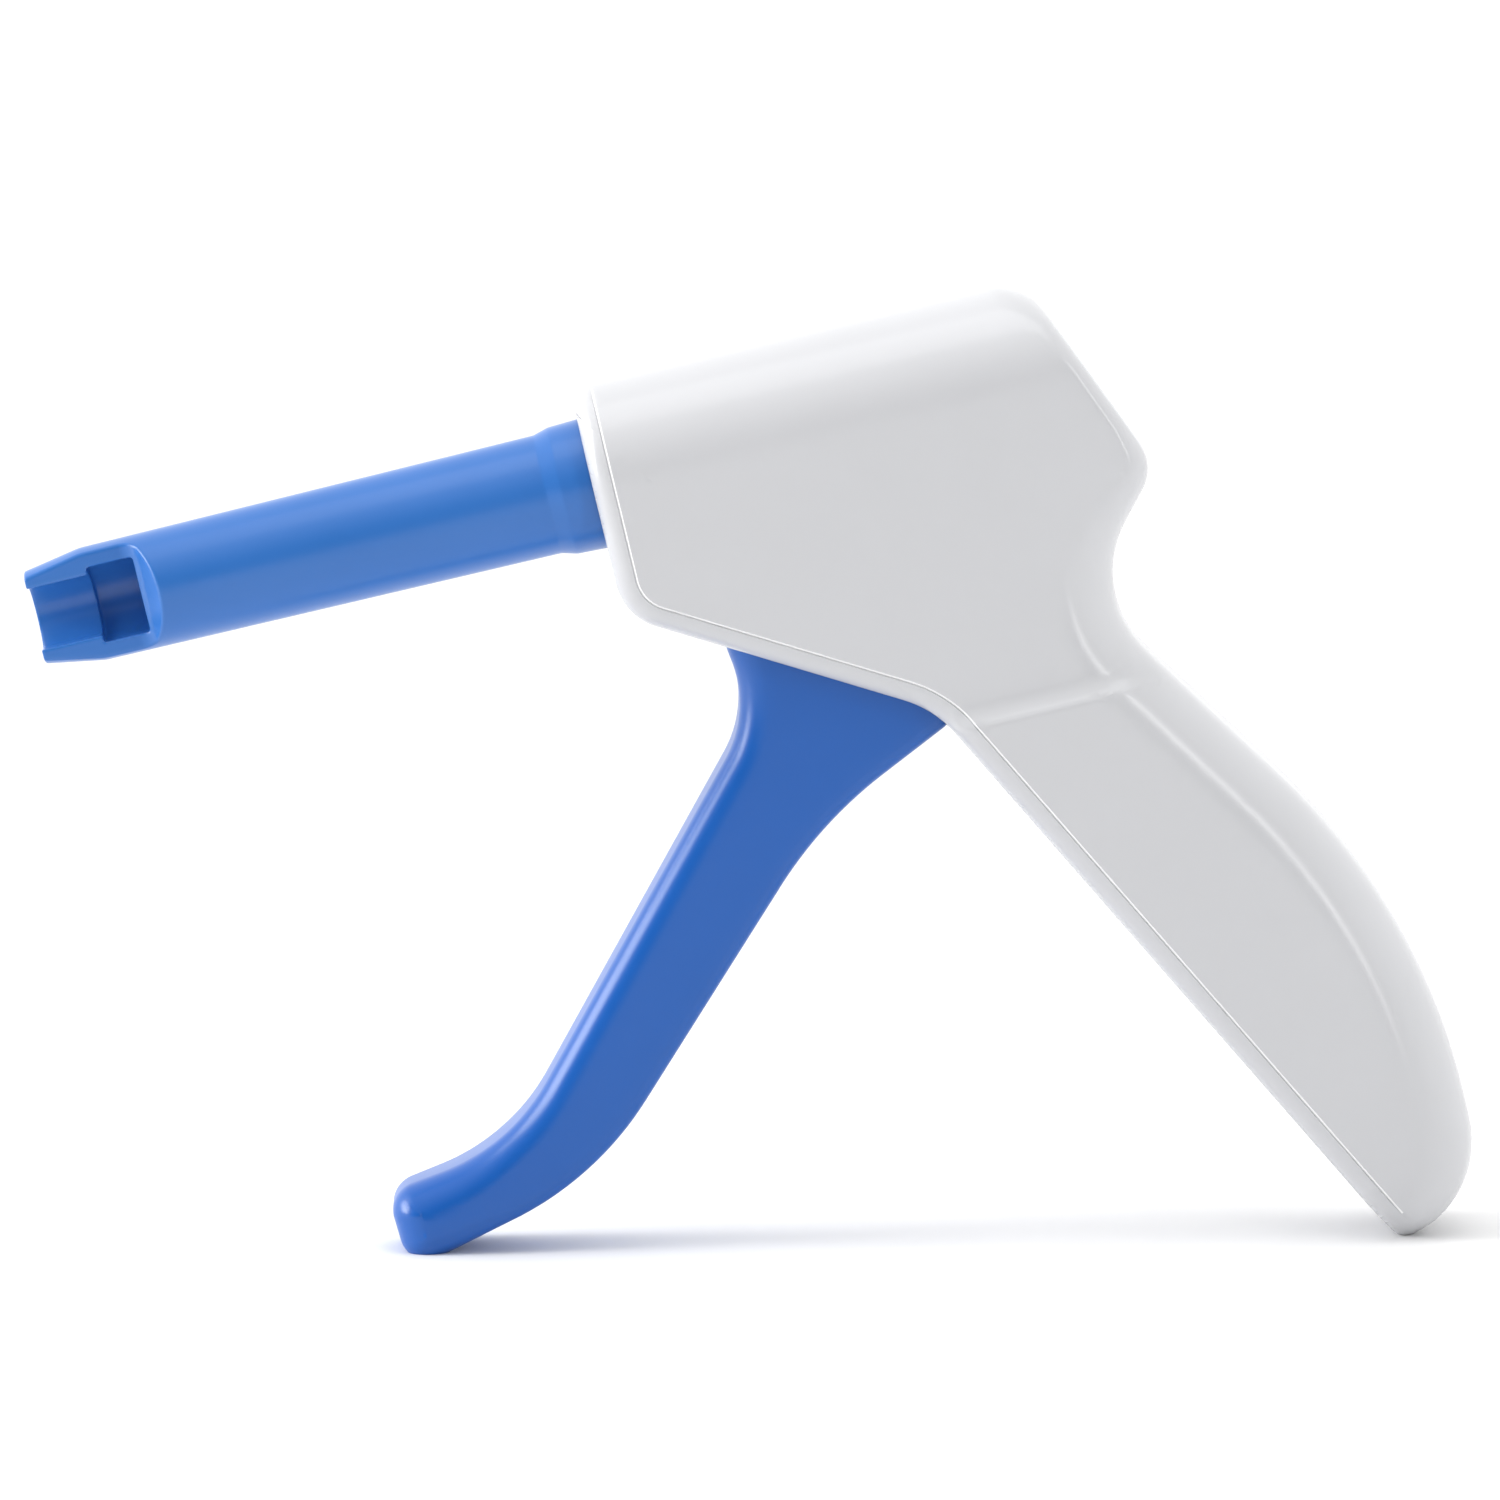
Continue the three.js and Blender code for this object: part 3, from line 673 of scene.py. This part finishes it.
# Holes along the barrel's axis: from, to and radius.
AXIAL_HOLES = [(-1, 3.2, BARREL_HOLE_R), (3, 5, 5.9), (4.8, 9.5, BARREL_HOLE_R), (34.4, 38.4, 3.8)]
PIVOT_HOLE_END, PIVOT_HOLE_R = 9.6, 2.3
SHANK_HOLE_START, SHANK_HOLE_R = -7, 1.65
OUTSIDE = 14


def fittings():
    """The ribs and bosses inside the shell, before they are cut to its form."""
    pivot = (PIVOT_U, PIVOT_V)
    parts = [beam("seat", disc(SEAT_R), SEAT_START, SEAT_END), prism("rib", RIB, -INTO_WALL, INTO_WALL)]
    parts.append(bar("pad", pivot, -INTO_WALL, -PAD_START, PAD_R))
    parts.append(bar("pad", pivot, PAD_START, INTO_WALL, PAD_R))
    parts += [bar("boss", place, -BOSS_END, BOSS_END, BOSS_R) for place in SCREW_PLACES]
    base = parts[0]
    for part in parts[1:]:
        combine(base, part, "UNION")
    return base


def bored(shell):
    """Cuts the barrel's seat, the slot and the holes."""
    slot_half = TRIGGER_HALF + GAP
    cuts = [beam("cut", disc(radius), low, high) for low, high, radius in AXIAL_HOLES]
    cuts.append(bar("cut", (PIVOT_U, PIVOT_V), -PIVOT_HOLE_END, PIVOT_HOLE_END, PIVOT_HOLE_R))
    cuts.append(prism("cut", SLOT_CORNERS, -slot_half, slot_half))
    for place in SCREW_PLACES:
        cuts.append(bar("cut", place, SHANK_HOLE_START, INTO_WALL, SHANK_HOLE_R))
        cuts.append(bar("cut", place, SCREW_SEAT, OUTSIDE, SCREW_R + GAP))
    for cut in cuts:
        combine(shell, cut, "DIFFERENCE")
    return shell


def paint_step_highlight(shell):
    """Paints a highlight along the step round the panel: its narrow tilted faces get a whiter material
    than the rest of the shell.
    """
    faces = shell.data.polygons
    centres = (np.array([tuple(f.center) for f in faces]) - ORIGIN) / MM
    places = np.stack([centres @ ALONG, centres @ UP], 1)
    across = np.abs(np.array([tuple(f.normal) for f in faces]) @ ACROSS)
    inward = FRONT_CHAIN.nearest(places)[0] - RIM
    from_back = BACK_CHAIN.nearest(places)[0]
    on_step = (inward > GROOVE_AT[-2]) & (inward < GROOVE_AT[-1]) & (from_back > LINE_END)
    tilted = (across > 0.3) & (across < 0.97)
    for face, chosen in zip(faces, on_step & tilted):
        face.material_index = int(chosen)


def make_shell(name, side):
    """One hollow half of the pistol, with its ribs, bosses and holes."""
    shell = shell_half_solid(name, side)
    inner = shell_half_solid("inner", side)
    combine(inner, fittings(), "INTERSECT")
    combine(shell, hollow(side), "DIFFERENCE")
    combine(shell, inner, "UNION")
    bored(shell)
    return smooth(shell, 32)


# ---- Surfaces from distance fields --------------------------------------------------------------


def round_cut(a, b, radius):
    """Where two fields are both inside, with the edge between them rounded."""
    past = np.hypot(np.maximum(radius + a, 0), np.maximum(radius + b, 0))
    return np.minimum(-radius, np.maximum(a, b)) + past


def slope_of(field, p, step=0.01):
    """The field's value and its gradient at each point."""
    gradient = np.empty_like(p)
    for axis in range(3):
        ahead, behind = p.copy(), p.copy()
        ahead[:, axis] += step
        behind[:, axis] -= step
        gradient[:, axis] = (field(ahead) - field(behind)) / (2 * step)
    return field(p), gradient


def settle(field, p, reach, rounds=3, least_slope=0.5):
    """Moves points onto the field's surface, by no more than reach in each round."""
    for _ in range(rounds):
        value, gradient = slope_of(field, p)
        square = np.maximum((gradient**2).sum(1), least_slope**2)
        p = p - np.clip(value, -reach, reach)[:, None] * gradient / square[:, None]
    return p


def corner(grid, place):
    """The values of a grid at one corner of every cell."""
    x, y, z = (slice(c, n - 1 + c) for c, n in zip(place, grid.shape))
    return grid[x, y, z]


def cell_points(nodes, value):
    """For each cell that the surface crosses, the middle of where it crosses the cell's edges."""
    shape = tuple(n - 1 for n in value.shape)
    total, count = np.zeros((*shape, 3)), np.zeros(shape)
    for axis in range(3):
        for start in np.ndindex(2, 2):
            a = list(start)
            a.insert(axis, 0)
            b = list(start)
            b.insert(axis, 1)
            fa, fb = corner(value, a), corner(value, b)
            cross = (fa < 0) != (fb < 0)
            t = np.where(cross, fa / np.where(cross, fa - fb, 1), 0)[..., None]
            total += np.where(cross[..., None], corner(nodes, a) * (1 - t) + corner(nodes, b) * t, 0)
            count += cross
    used = count > 0
    index = np.full(shape, -1)
    index[used] = np.arange(used.sum())
    return total[used] / count[used][:, None], index


def cell_faces(value, index):
    """A four-sided face round every edge of the grid that the surface crosses."""
    faces = []
    for axis in range(3):
        lead = [slice(1, -1)] * 3
        lead[axis] = slice(0, -1)
        after = [slice(1, -1)] * 3
        after[axis] = slice(1, None)
        low_in, high_in = value[tuple(lead)] < 0, value[tuple(after)] < 0
        first = np.argwhere(low_in != high_in)
        leaving = low_in[tuple(first.T)]
        b, c = (axis + 1) % 3, (axis + 2) % 3
        corners = []
        for db, dc in ((0, 0), (1, 0), (1, 1), (0, 1)):
            cell = first.copy()
            cell[:, b] += db
            cell[:, c] += dc
            corners.append(index[tuple(cell.T)])
        quads = np.stack(corners, 1)
        quads[~leaving] = quads[~leaving][:, ::-1]
        faces.append(quads)
    return np.vstack(faces).tolist()


def surface_of(name, field, us, ys, vs, reach=0.08):
    """A closed mesh over a field's surface, found cell by cell on a grid."""
    axes = [np.asarray(a, float) for a in (us, ys, vs)]
    nodes = np.stack(np.meshgrid(*axes, indexing="ij"), -1)
    value = field(nodes.reshape(-1, 3)).reshape(nodes.shape[:3])
    points, index = cell_points(nodes, value)
    return new_object(name, settle(field, points, reach), cell_faces(value, index))


def spread(*runs):
    """Grid places from (start, end, step) runs that follow one another."""
    places = [np.linspace(a, b, round((b - a) / step), endpoint=False) for a, b, step in runs]
    return np.concatenate([*places, [runs[-1][1]]])


# ---- Barrel -------------------------------------------------------------------------------------

BARREL_END_U = 7.1
# The barrel's outside: (u, radius, rounding).
BARREL_SIDE = rounded(
    [(-70, 2.99), (-53.2, 5.97, 5), (-4.7, 6.27, 0.7), (-3.1, 6.72, 0.9), (0, 6.85, 4), (20, 6.85)],
    closed=False,
)
TIP_U = -59.35
SEAT_U = -52.9
POCKET_U = -47.9
POCKET_MID = (SEAT_U + POCKET_U) / 2
POCKET_LONG = POCKET_U - SEAT_U
CRADLE_CUT = 2.25
CHANNEL_HALF = 3.25
POCKET_HALF = 4.0
RAMP = np.array([6.75, 3.6]) / math.hypot(6.75, 3.6)  # across the slope behind the open side
TIP_EDGE = 0.25
END_EDGE = 0.3
RAMP_EDGE = 1.2
CRADLE_EDGE = 0.2
SEAT_EDGE = 0.1
MOUTH_EDGE = 0.16
POCKET_CORNER = 0.35
POCKET_EDGE = 0.12
# Bores along the barrel's axis: from, to, radius and sides.
BORES = [(POCKET_U - 1, -44.5, 2.3, 32), (-45.5, -7, 3.2, 48), (-8, 8, 4.1, 48)]
# Grooves round the barrel, one for the friction ring and one for the seat: from, to and radius.
BARREL_GROOVES = [(0.5, 2.1, 5.3), (2.9, 5.1, 5.6)]
OUTSIDE_BARREL = 8


def trough(p, half):
    """Distance from a round-bottomed channel that is open towards the left side."""
    return np.where(p[:, 1] < 0, np.abs(p[:, 2]), np.hypot(p[:, 1], p[:, 2])) - half


def barrel_field(p):
    """Distance from the barrel's outside and cradle, below zero inside the plastic."""
    u, y = p[:, 0], p[:, 1]
    side = np.hypot(y, p[:, 2]) - np.interp(u, BARREL_SIDE[:, 0], BARREL_SIDE[:, 1])
    tube = round_cut(round_cut(side, TIP_U - u, TIP_EDGE), u - BARREL_END_U, END_EDGE)
    ramp = (u - POCKET_U) * RAMP[0] + (y + CRADLE_CUT) * RAMP[1]
    open_side = round_cut(y + CRADLE_CUT, ramp, RAMP_EDGE)
    body = round_cut(tube, -open_side, CRADLE_EDGE)
    channel = round_cut(trough(p, CHANNEL_HALF), u - SEAT_U - 1, SEAT_EDGE)
    pocket_ends = np.abs(u - POCKET_MID) - POCKET_LONG / 2
    pocket = round_cut(trough(p, POCKET_HALF), pocket_ends, POCKET_CORNER)
    return round_cut(round_cut(body, -channel, MOUTH_EDGE), -pocket, POCKET_EDGE)


def make_barrel(name):
    """The barrel: fine cells round its cradle, collar and end, and coarse ones between them."""
    fine, medium, coarse = (-60, -43.6, 0.15), (-5.6, -2.4, 0.2), (-43.6, -5.6, 0.9)
    us = spread(fine, coarse, medium, (-2.4, 6.4, 0.8), (6.4, 7.6, 0.2))
    across = spread((-7.35, 7.35, 0.175))
    barrel = surface_of(name, barrel_field, us, across, across)
    for low, high, radius, sides in BORES:
        combine(barrel, beam("cut", disc(radius, sides), low, high), "DIFFERENCE")
    for low, high, radius in BARREL_GROOVES:
        ring = beam("ring", disc(OUTSIDE_BARREL), low, high)
        combine(ring, beam("core", disc(radius), low - 1, high + 1), "DIFFERENCE")
        combine(barrel, ring, "DIFFERENCE")
    return smooth(barrel, 35)


# ---- Trigger ------------------------------------------------------------------------------------

TRIGGER_EDGE = 3.1  # the rounding along its front, above the toe
TOE_EDGE = 4.2
REAR_EDGE = 1.4
TRIGGER_RINGS = 11
TRIGGER_STEP = 0.8
FORK_INNER = 4.15
FORK_OUTER = 6.3
FORK_REACH = 22.5
FORK_FOOT = 6
FORK_HEAD = 4
FORK_SLOT = 1.85
SLOT_BELOW = 2.4  # the fork's slot reaches this far below the cross pin
FORK_CORNER = 0.8
HUB_END, HUB_HOLE_R = 9, 3.2


def fork_outline():
    """One arm of the fork; at rest it leans back by half of the pull."""
    floor = -PIVOT_V - SLOT_BELOW
    bottom = FORK_SLOT - 0.01
    upright = [
        (-FORK_FOOT, 0),
        (-FORK_HEAD, FORK_REACH, FORK_CORNER),
        (-FORK_SLOT, FORK_REACH, FORK_CORNER / 2),
        (-FORK_SLOT, floor, bottom),
        (FORK_SLOT, floor, bottom),
        (FORK_SLOT, FORK_REACH, FORK_CORNER / 2),
        (FORK_HEAD, FORK_REACH, FORK_CORNER),
        (FORK_FOOT, 0),
    ]
    c, s = math.cos(PULL / 2), math.sin(PULL / 2)
    lean = [(PIVOT_U + x * c + y * s, PIVOT_V - x * s + y * c, *r) for x, y, *r in upright]
    return rounded(lean)


def trigger_radius(edge):
    """How the rounding's radius changes along the trigger's outline, as a function of the place."""
    _, turns = edge.nearest([corner[:2] for corner in TRIGGER_CORNERS])
    heel, back, top, neck = (turns[i] for i in (1, 4, 6, 9))
    changes = [heel - 8, heel + 12, back - 2, top, neck, edge.at[-1]]
    radii = [TOE_EDGE, REAR_EDGE, REAR_EDGE, TRIGGER_EDGE, TRIGGER_EDGE, TOE_EDGE]
    return lambda place: np.interp(place, changes, radii)


def lever_solid(name):
    """The trigger without its fork and its pivot hole."""
    outline = even(rounded(TRIGGER_CORNERS), TRIGGER_STEP)
    edge = Chain(np.vstack([outline, outline[:1]]))
    radius = trigger_radius(edge)
    rings = ring_points(edge, lambda p: ring_depths(radius(p), TRIGGER_RINGS), TRIGGER_STEP, 1)
    grid = grid_of(np.arange(-38, 32, 1.1), np.arange(-75, -8, 1.1))
    interior = np.vstack([rings, thin_out(rings, grid, 0.6)])
    interior = thin_out(outline, interior[inside(interior, outline)], CLOSE)
    flat, faces, _ = triangulated(outline, interior)
    gap, place = edge.nearest(flat)
    half = TRIGGER_HALF - fillet(gap, radius(place))
    return between_surfaces(name, flat, faces, -half, half)


def make_trigger(name):
    """The trigger: a rounded lever, with a fork above its pivot."""
    trigger = lever_solid(name)
    for low, high in ((FORK_INNER, FORK_OUTER), (-FORK_OUTER, -FORK_INNER)):
        combine(trigger, prism("arm", fork_outline(), low, high), "UNION")
    combine(trigger, bar("cut", (PIVOT_U, PIVOT_V), -HUB_END, HUB_END, HUB_HOLE_R), "DIFFERENCE")
    return smooth(cut_at_floor(trigger), 32)


def cut_at_floor(obj):
    """Removes what reaches under the floor."""
    slab = rectangle(-0.2, 0.2, -0.05, 0.05)
    low_end, high_end = ([to_gun((x, y, z)) for x, y in slab] for z in (-0.02, 0))
    return combine(obj, between_ends("floor_cut", low_end, high_end), "DIFFERENCE")


# ---- Screws and spring --------------------------------------------------------------------------

SCREW_HEAD = 1.6
SHANK_R = 1.35
RECESS_LONG, RECESS_WIDE, RECESS_FLOOR = 1.75, 0.36, 0.7


def make_screw(name, place):
    """A pointed screw with a rounded head and a cross recess."""
    low, high = SCREW_SEAT + GAP, SCREW_SEAT + GAP + SCREW_HEAD
    profile = [
        (-6, 0),
        (-6, 0.8, 0.2),
        (-5, SHANK_R, 0.3),
        (low, SHANK_R),
        (low, SCREW_R, 0.15),
        (high, SCREW_R, 0.45),
        (high, 0),
    ]
    screw = turned(name, profile, 40, place)
    u, v = place
    for wide, tall in ((RECESS_LONG, RECESS_WIDE), (RECESS_WIDE, RECESS_LONG)):
        arm = rounded([(x, y, 0.12) for x, y in rectangle(u - wide, u + wide, v - tall, v + tall)])
        combine(screw, prism("cut", arm, low + RECESS_FLOOR, OUTSIDE), "DIFFERENCE")
    return smooth(screw, 30)


SPRING_R = 3.4
SPRING_WIRE_R = 0.35
SPRING_TURNS = 10
SPRING_SEAT_U = centre_of("spring_seat_washer")[0] + 0.4 + GAP  # 0.4 is half of the washer
SPRING_END_U = THRUST_U - 4 - GAP  # 4 is half of the thrust block
CLOSED_TURNS = 0.8  # turns at each end that lie almost flat
CLOSED_RISE = 0.025  # share of the length that each of them takes


def spring_rise(t):
    """Share of the spring's length reached at a share t of its turns."""
    closed = CLOSED_TURNS / SPRING_TURNS
    ends = min(t / closed, 1) + min(max(t - 1 + closed, 0) / closed, 1)
    middle = min(max((t - closed) / (1 - 2 * closed), 0), 1)
    return CLOSED_RISE * ends + (1 - 2 * CLOSED_RISE) * middle


def make_spring(name):
    """The return spring at its resting length."""
    u_low, u_high = SPRING_SEAT_U + SPRING_WIRE_R, SPRING_END_U - SPRING_WIRE_R
    steps, sides = 40 * SPRING_TURNS, 12
    along = np.array([1, 0, 0])
    points = []
    for k in range(steps + 1):
        angle = 2 * math.pi * k / steps * SPRING_TURNS
        out = np.array([0, math.cos(angle), math.sin(angle)])
        centre = (u_low + (u_high - u_low) * spring_rise(k / steps)) * along + SPRING_R * out
        for side in range(sides):
            a = 2 * math.pi * side / sides
            points.append(centre + SPRING_WIRE_R * (math.cos(a) * out + math.sin(a) * along))
    faces = [list(range(sides)), [steps * sides + i for i in range(sides)][::-1]]
    for k in range(steps):
        for i in range(sides):
            a, b = k * sides + i, k * sides + (i + 1) % sides
            faces.append([a, b, b + sides, a + sides])
    return smooth(new_object(name, points, faces), 50)


# ---- Materials ----------------------------------------------------------------------------------

CLOUD_SCALE = 55  # broad, faint changes of colour
SHEEN_SCALE = 210  # changes of roughness
GRAIN_SCALE = 2600  # the fine grain of a moulded surface
MARK_SCALE = 900  # fine marks on metal


class Nodes:
    """A short way to lay out a material's nodes."""

    def __init__(self, name):
        self.material = bpy.data.materials.new(name)
        self.material.use_nodes = True
        self.tree = self.material.node_tree
        self.shader = self.tree.nodes["Principled BSDF"]
        self.place = self.add("ShaderNodeTexCoord").outputs["Object"]

    def add(self, kind, **inputs):
        """A new node, with inputs given as values or as other nodes' outputs."""
        node = self.tree.nodes.new(kind)
        for key, value in inputs.items():
            self.put(node.inputs[key.replace("_", " ")], value)
        return node

    def put(self, socket, value):
        """Links a socket to another node's output, or sets its value."""
        if isinstance(value, bpy.types.NodeSocket):
            self.tree.links.new(value, socket)
        else:
            socket.default_value = value

    def noise(self, scale, detail=3):
        """Noise from 0 to 1 over the piece."""
        return self.add("ShaderNodeTexNoise", Vector=self.place, Scale=scale, Detail=detail).outputs["Fac"]

    def between(self, factor, low, high):
        """A value that changes from low to high as the factor goes from 0 to 1."""
        return self.add("ShaderNodeMapRange", Value=factor, To_Min=low, To_Max=high).outputs["Result"]

    def tint(self, factor, first, second):
        """A colour that changes from first to second over the middle of the factor's range."""
        ramp = self.add("ShaderNodeValToRGB", Fac=factor)
        for element, position, colour in zip(ramp.color_ramp.elements, (0.35, 0.65), (first, second)):
            element.position = position
            element.color = (*colour, 1)
        return ramp.outputs["Color"]

    def bump(self, height, depth):
        """A normal that follows a height map of the given depth in metres."""
        return self.add("ShaderNodeBump", Height=height, Distance=depth, Strength=1).outputs["Normal"]

    def set(self, **inputs):
        """Puts values or other nodes' outputs into the shader."""
        for key, value in inputs.items():
            self.put(self.shader.inputs[key.replace("_", " ")], value)
        return self.material


def moulded(name, first, second, rough, depth=0.5e-6):
    """Plastic or rubber between two close colours, with a grain of the given depth in metres."""
    n = Nodes(name)
    colour = n.tint(n.noise(CLOUD_SCALE), first, second)
    roughness = n.between(n.noise(SHEEN_SCALE), rough - 0.03, rough + 0.03)
    normal = n.bump(n.noise(GRAIN_SCALE, 2), depth)
    return n.set(Base_Color=colour, Roughness=roughness, Normal=normal, IOR=1.5)


def metal(name, first, second, rough, depth=4e-6):
    """Metal between two close colours, with marks of the given depth in metres."""
    n = Nodes(name)
    marks = n.noise(MARK_SCALE, 4)
    colour = n.tint(marks, first, second)
    roughness = n.between(marks, rough - 0.08, rough + 0.08)
    return n.set(Base_Color=colour, Roughness=roughness, Metallic=1.0, Normal=n.bump(marks, depth))


def finishes():
    """One material for each of the record's slots, and a near-white one that paints a highlight on the
    face of the shell's step.
    """
    return {
        "shell": moulded("shell_finish", (0.570, 0.574, 0.592), (0.580, 0.584, 0.603), 0.21),
        # painted highlight: the step's face is the shell's own plastic, drawn near white to stand for the
        # bright line along the step
        "step_painted_highlight": moulded("shell_step_painted_highlight", (0.93, 0.93, 0.93), (0.95, 0.95, 0.95), 0.2),
        "barrel": moulded("barrel_finish", (0.028, 0.147, 0.470), (0.031, 0.154, 0.488), 0.3),
        "lever": moulded("lever_finish", (0.006, 0.097, 0.410), (0.008, 0.102, 0.425), 0.3),
        "steel": metal("steel_finish", (0.55, 0.56, 0.58), (0.68, 0.69, 0.7), 0.28),
        "spring": metal("spring_finish", (0.38, 0.39, 0.41), (0.5, 0.51, 0.53), 0.32),
        "bronze": metal("bronze_finish", (0.42, 0.29, 0.12), (0.55, 0.38, 0.17), 0.42),
        "acetal": moulded("acetal_finish", (0.68, 0.68, 0.65), (0.72, 0.72, 0.69), 0.48),
        "rubber": moulded("rubber_finish", (0.012, 0.012, 0.014), (0.02, 0.02, 0.022), 0.72, depth=6e-6),
    }


# ---- Stage --------------------------------------------------------------------------------------

FLOOR_R = 6
FLOOR_SIDES = 96
WORLD_NEAR = 0.0
# Each ramp takes the surround from what it was to a new strength, along one direction.
WORLD_RAMPS = [("Y", -0.35, 0.3, 1.4), ("X", 0.3, 0.9, 1.25), ("Z", 0.25, 0.95, 1.12)]
SUN_POWER = 1.9
SUN_WIDTH = math.radians(35)
SUN_DIRECTION = (-0.95, 0.0, 0.42)
# Soft lights: place, the point aimed at, size and power.
SOFT_LIGHTS = {
    "softbox": ((0.62, -1.0, 0.45), (0, 0, 0.05), (0.12, 0.8), 2.5),
    "top_box": ((0.0, -0.05, 0.38), (0, 0, 0.08), (0.3, 0.2), 0.26),
    "left_box": ((-0.42, -0.05, 0.11), (0, 0, 0.06), (0.16, 0.16), 0.5),
}
CAMERA_ANGLES = (-1.0, 6.7, -1.0)  # azimuth from the front, elevation and roll, in degrees
CAMERA_AIM = (0.0004, 0, 0.0515)
CAMERA_DISTANCE = 1.1
CAMERA_SPAN = 0.1559  # width of the view at the point aimed at
SENSOR_WIDTH = 36


def make_floor():
    """A plain round floor."""
    points = [(x, y, 0) for x, y in disc(FLOOR_R, FLOOR_SIDES)]
    mesh = bpy.data.meshes.new("floor")
    mesh.from_pydata(points, [], [list(range(FLOOR_SIDES))])
    floor = link("floor", mesh)
    floor.data.materials.append(moulded("floor_finish", (0.85, 0.85, 0.85), (0.87, 0.87, 0.87), 0.8))


def set_world():
    """A near-white surround: dimmer behind the camera than behind the gun, and brightest overhead."""
    world = bpy.data.worlds.new("surround")
    bpy.context.scene.world = world
    world.use_nodes = True
    tree = world.node_tree
    place = tree.nodes.new("ShaderNodeTexCoord")
    split = tree.nodes.new("ShaderNodeSeparateXYZ")
    tree.links.new(place.outputs["Generated"], split.inputs["Vector"])
    strength = WORLD_NEAR
    for axis, low, high, target in WORLD_RAMPS:
        ramp = tree.nodes.new("ShaderNodeMapRange")
        ramp.interpolation_type = "SMOOTHSTEP"
        ramp.inputs["From Min"].default_value = low
        ramp.inputs["From Max"].default_value = high
        ramp.inputs["To Max"].default_value = target
        tree.links.new(split.outputs[axis], ramp.inputs["Value"])
        if isinstance(strength, float):
            ramp.inputs["To Min"].default_value = strength
        else:
            tree.links.new(strength, ramp.inputs["To Min"])
        strength = ramp.outputs["Result"]
    tree.links.new(strength, tree.nodes["Background"].inputs["Strength"])
    tree.nodes["Background"].inputs["Color"].default_value = (1, 1, 1, 1)


def soft_light(name, place, aim, size, power):
    """A rectangular light that the camera doesn't see."""
    data = bpy.data.lights.new(name, "AREA")
    data.shape = "RECTANGLE"
    data.size, data.size_y = size
    data.energy = power
    light = link(name, data)
    light.visible_camera = False
    light.location = place
    light.rotation_euler = (Vector(aim) - Vector(place)).to_track_quat("-Z", "Y").to_euler()


def set_lights():
    """A broad key light from the muzzle's side, and the soft lights."""
    data = bpy.data.lights.new("key", "SUN")
    data.energy = SUN_POWER
    data.angle = SUN_WIDTH
    link("key", data).rotation_euler = Vector(SUN_DIRECTION).to_track_quat("Z", "Y").to_euler()
    for name, settings in SOFT_LIGHTS.items():
        soft_light(name, *settings)


def set_camera():
    """A distant camera at the left side, a little above the gun."""
    data = bpy.data.cameras.new("camera")
    camera = link("camera", data)
    bpy.context.scene.camera = camera
    azimuth, elevation, roll = (math.radians(a) for a in CAMERA_ANGLES)
    level = math.cos(elevation)
    away = Vector((math.sin(azimuth) * level, -math.cos(azimuth) * level, math.sin(elevation)))
    camera.location = Vector(CAMERA_AIM) + CAMERA_DISTANCE * away
    turn = (-away).to_track_quat("-Z", "Y").to_matrix() @ Matrix.Rotation(roll, 3, "Z")
    camera.rotation_euler = turn.to_euler()
    data.sensor_width = SENSOR_WIDTH
    data.lens = SENSOR_WIDTH * CAMERA_DISTANCE / CAMERA_SPAN
    data.clip_start = CAMERA_DISTANCE / 100
    data.clip_end = 4 * FLOOR_R


# ---- Assembly -----------------------------------------------------------------------------------


def dress(obj, slot, body, *nodes):
    """Gives a piece its finish and sets it in the place of the nodes that it stands for."""
    obj.data.materials.clear()
    obj.data.materials.append(FINISHES[slot])
    # the shell's second material paints a highlight on the face of its step
    if slot == "shell":
        obj.data.materials.append(FINISHES["step_painted_highlight"])
        paint_step_highlight(obj)
    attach(obj, body)
    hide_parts(*nodes)


def dress_nodes():
    """Gives the carried-over nodes the finishes of their slots."""
    for part in frame["record"]["subparts"]:
        node = frame["nodes"][part["node"]]
        node.data.materials.clear()
        node.data.materials.append(FINISHES[part["material_slot"]])
        smooth(node, 35)


FINISHES = finishes()

dress_nodes()
dress(make_shell("left_shell_skin", -1), "shell", "housing", "left_shell")
dress(make_shell("right_shell_skin", 1), "shell", "housing", "right_shell")
dress(make_barrel("barrel_skin"), "barrel", "swivel_barrel", "barrel")
dress(make_trigger("trigger_skin"), "lever", "lever", "trigger")
for screw_node, screw_place in zip(SCREWS, SCREW_PLACES):
    dress(make_screw(f"{screw_node}_skin", screw_place), "steel", "housing", screw_node)
spring = make_spring("return_spring_skin")
dress(spring, "spring", "housing", "return_spring")
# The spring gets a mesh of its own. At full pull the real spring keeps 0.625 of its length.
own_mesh(spring)

make_floor()
set_world()
set_lights()
set_camera()
bpy.context.scene.view_settings.view_transform = "Standard"
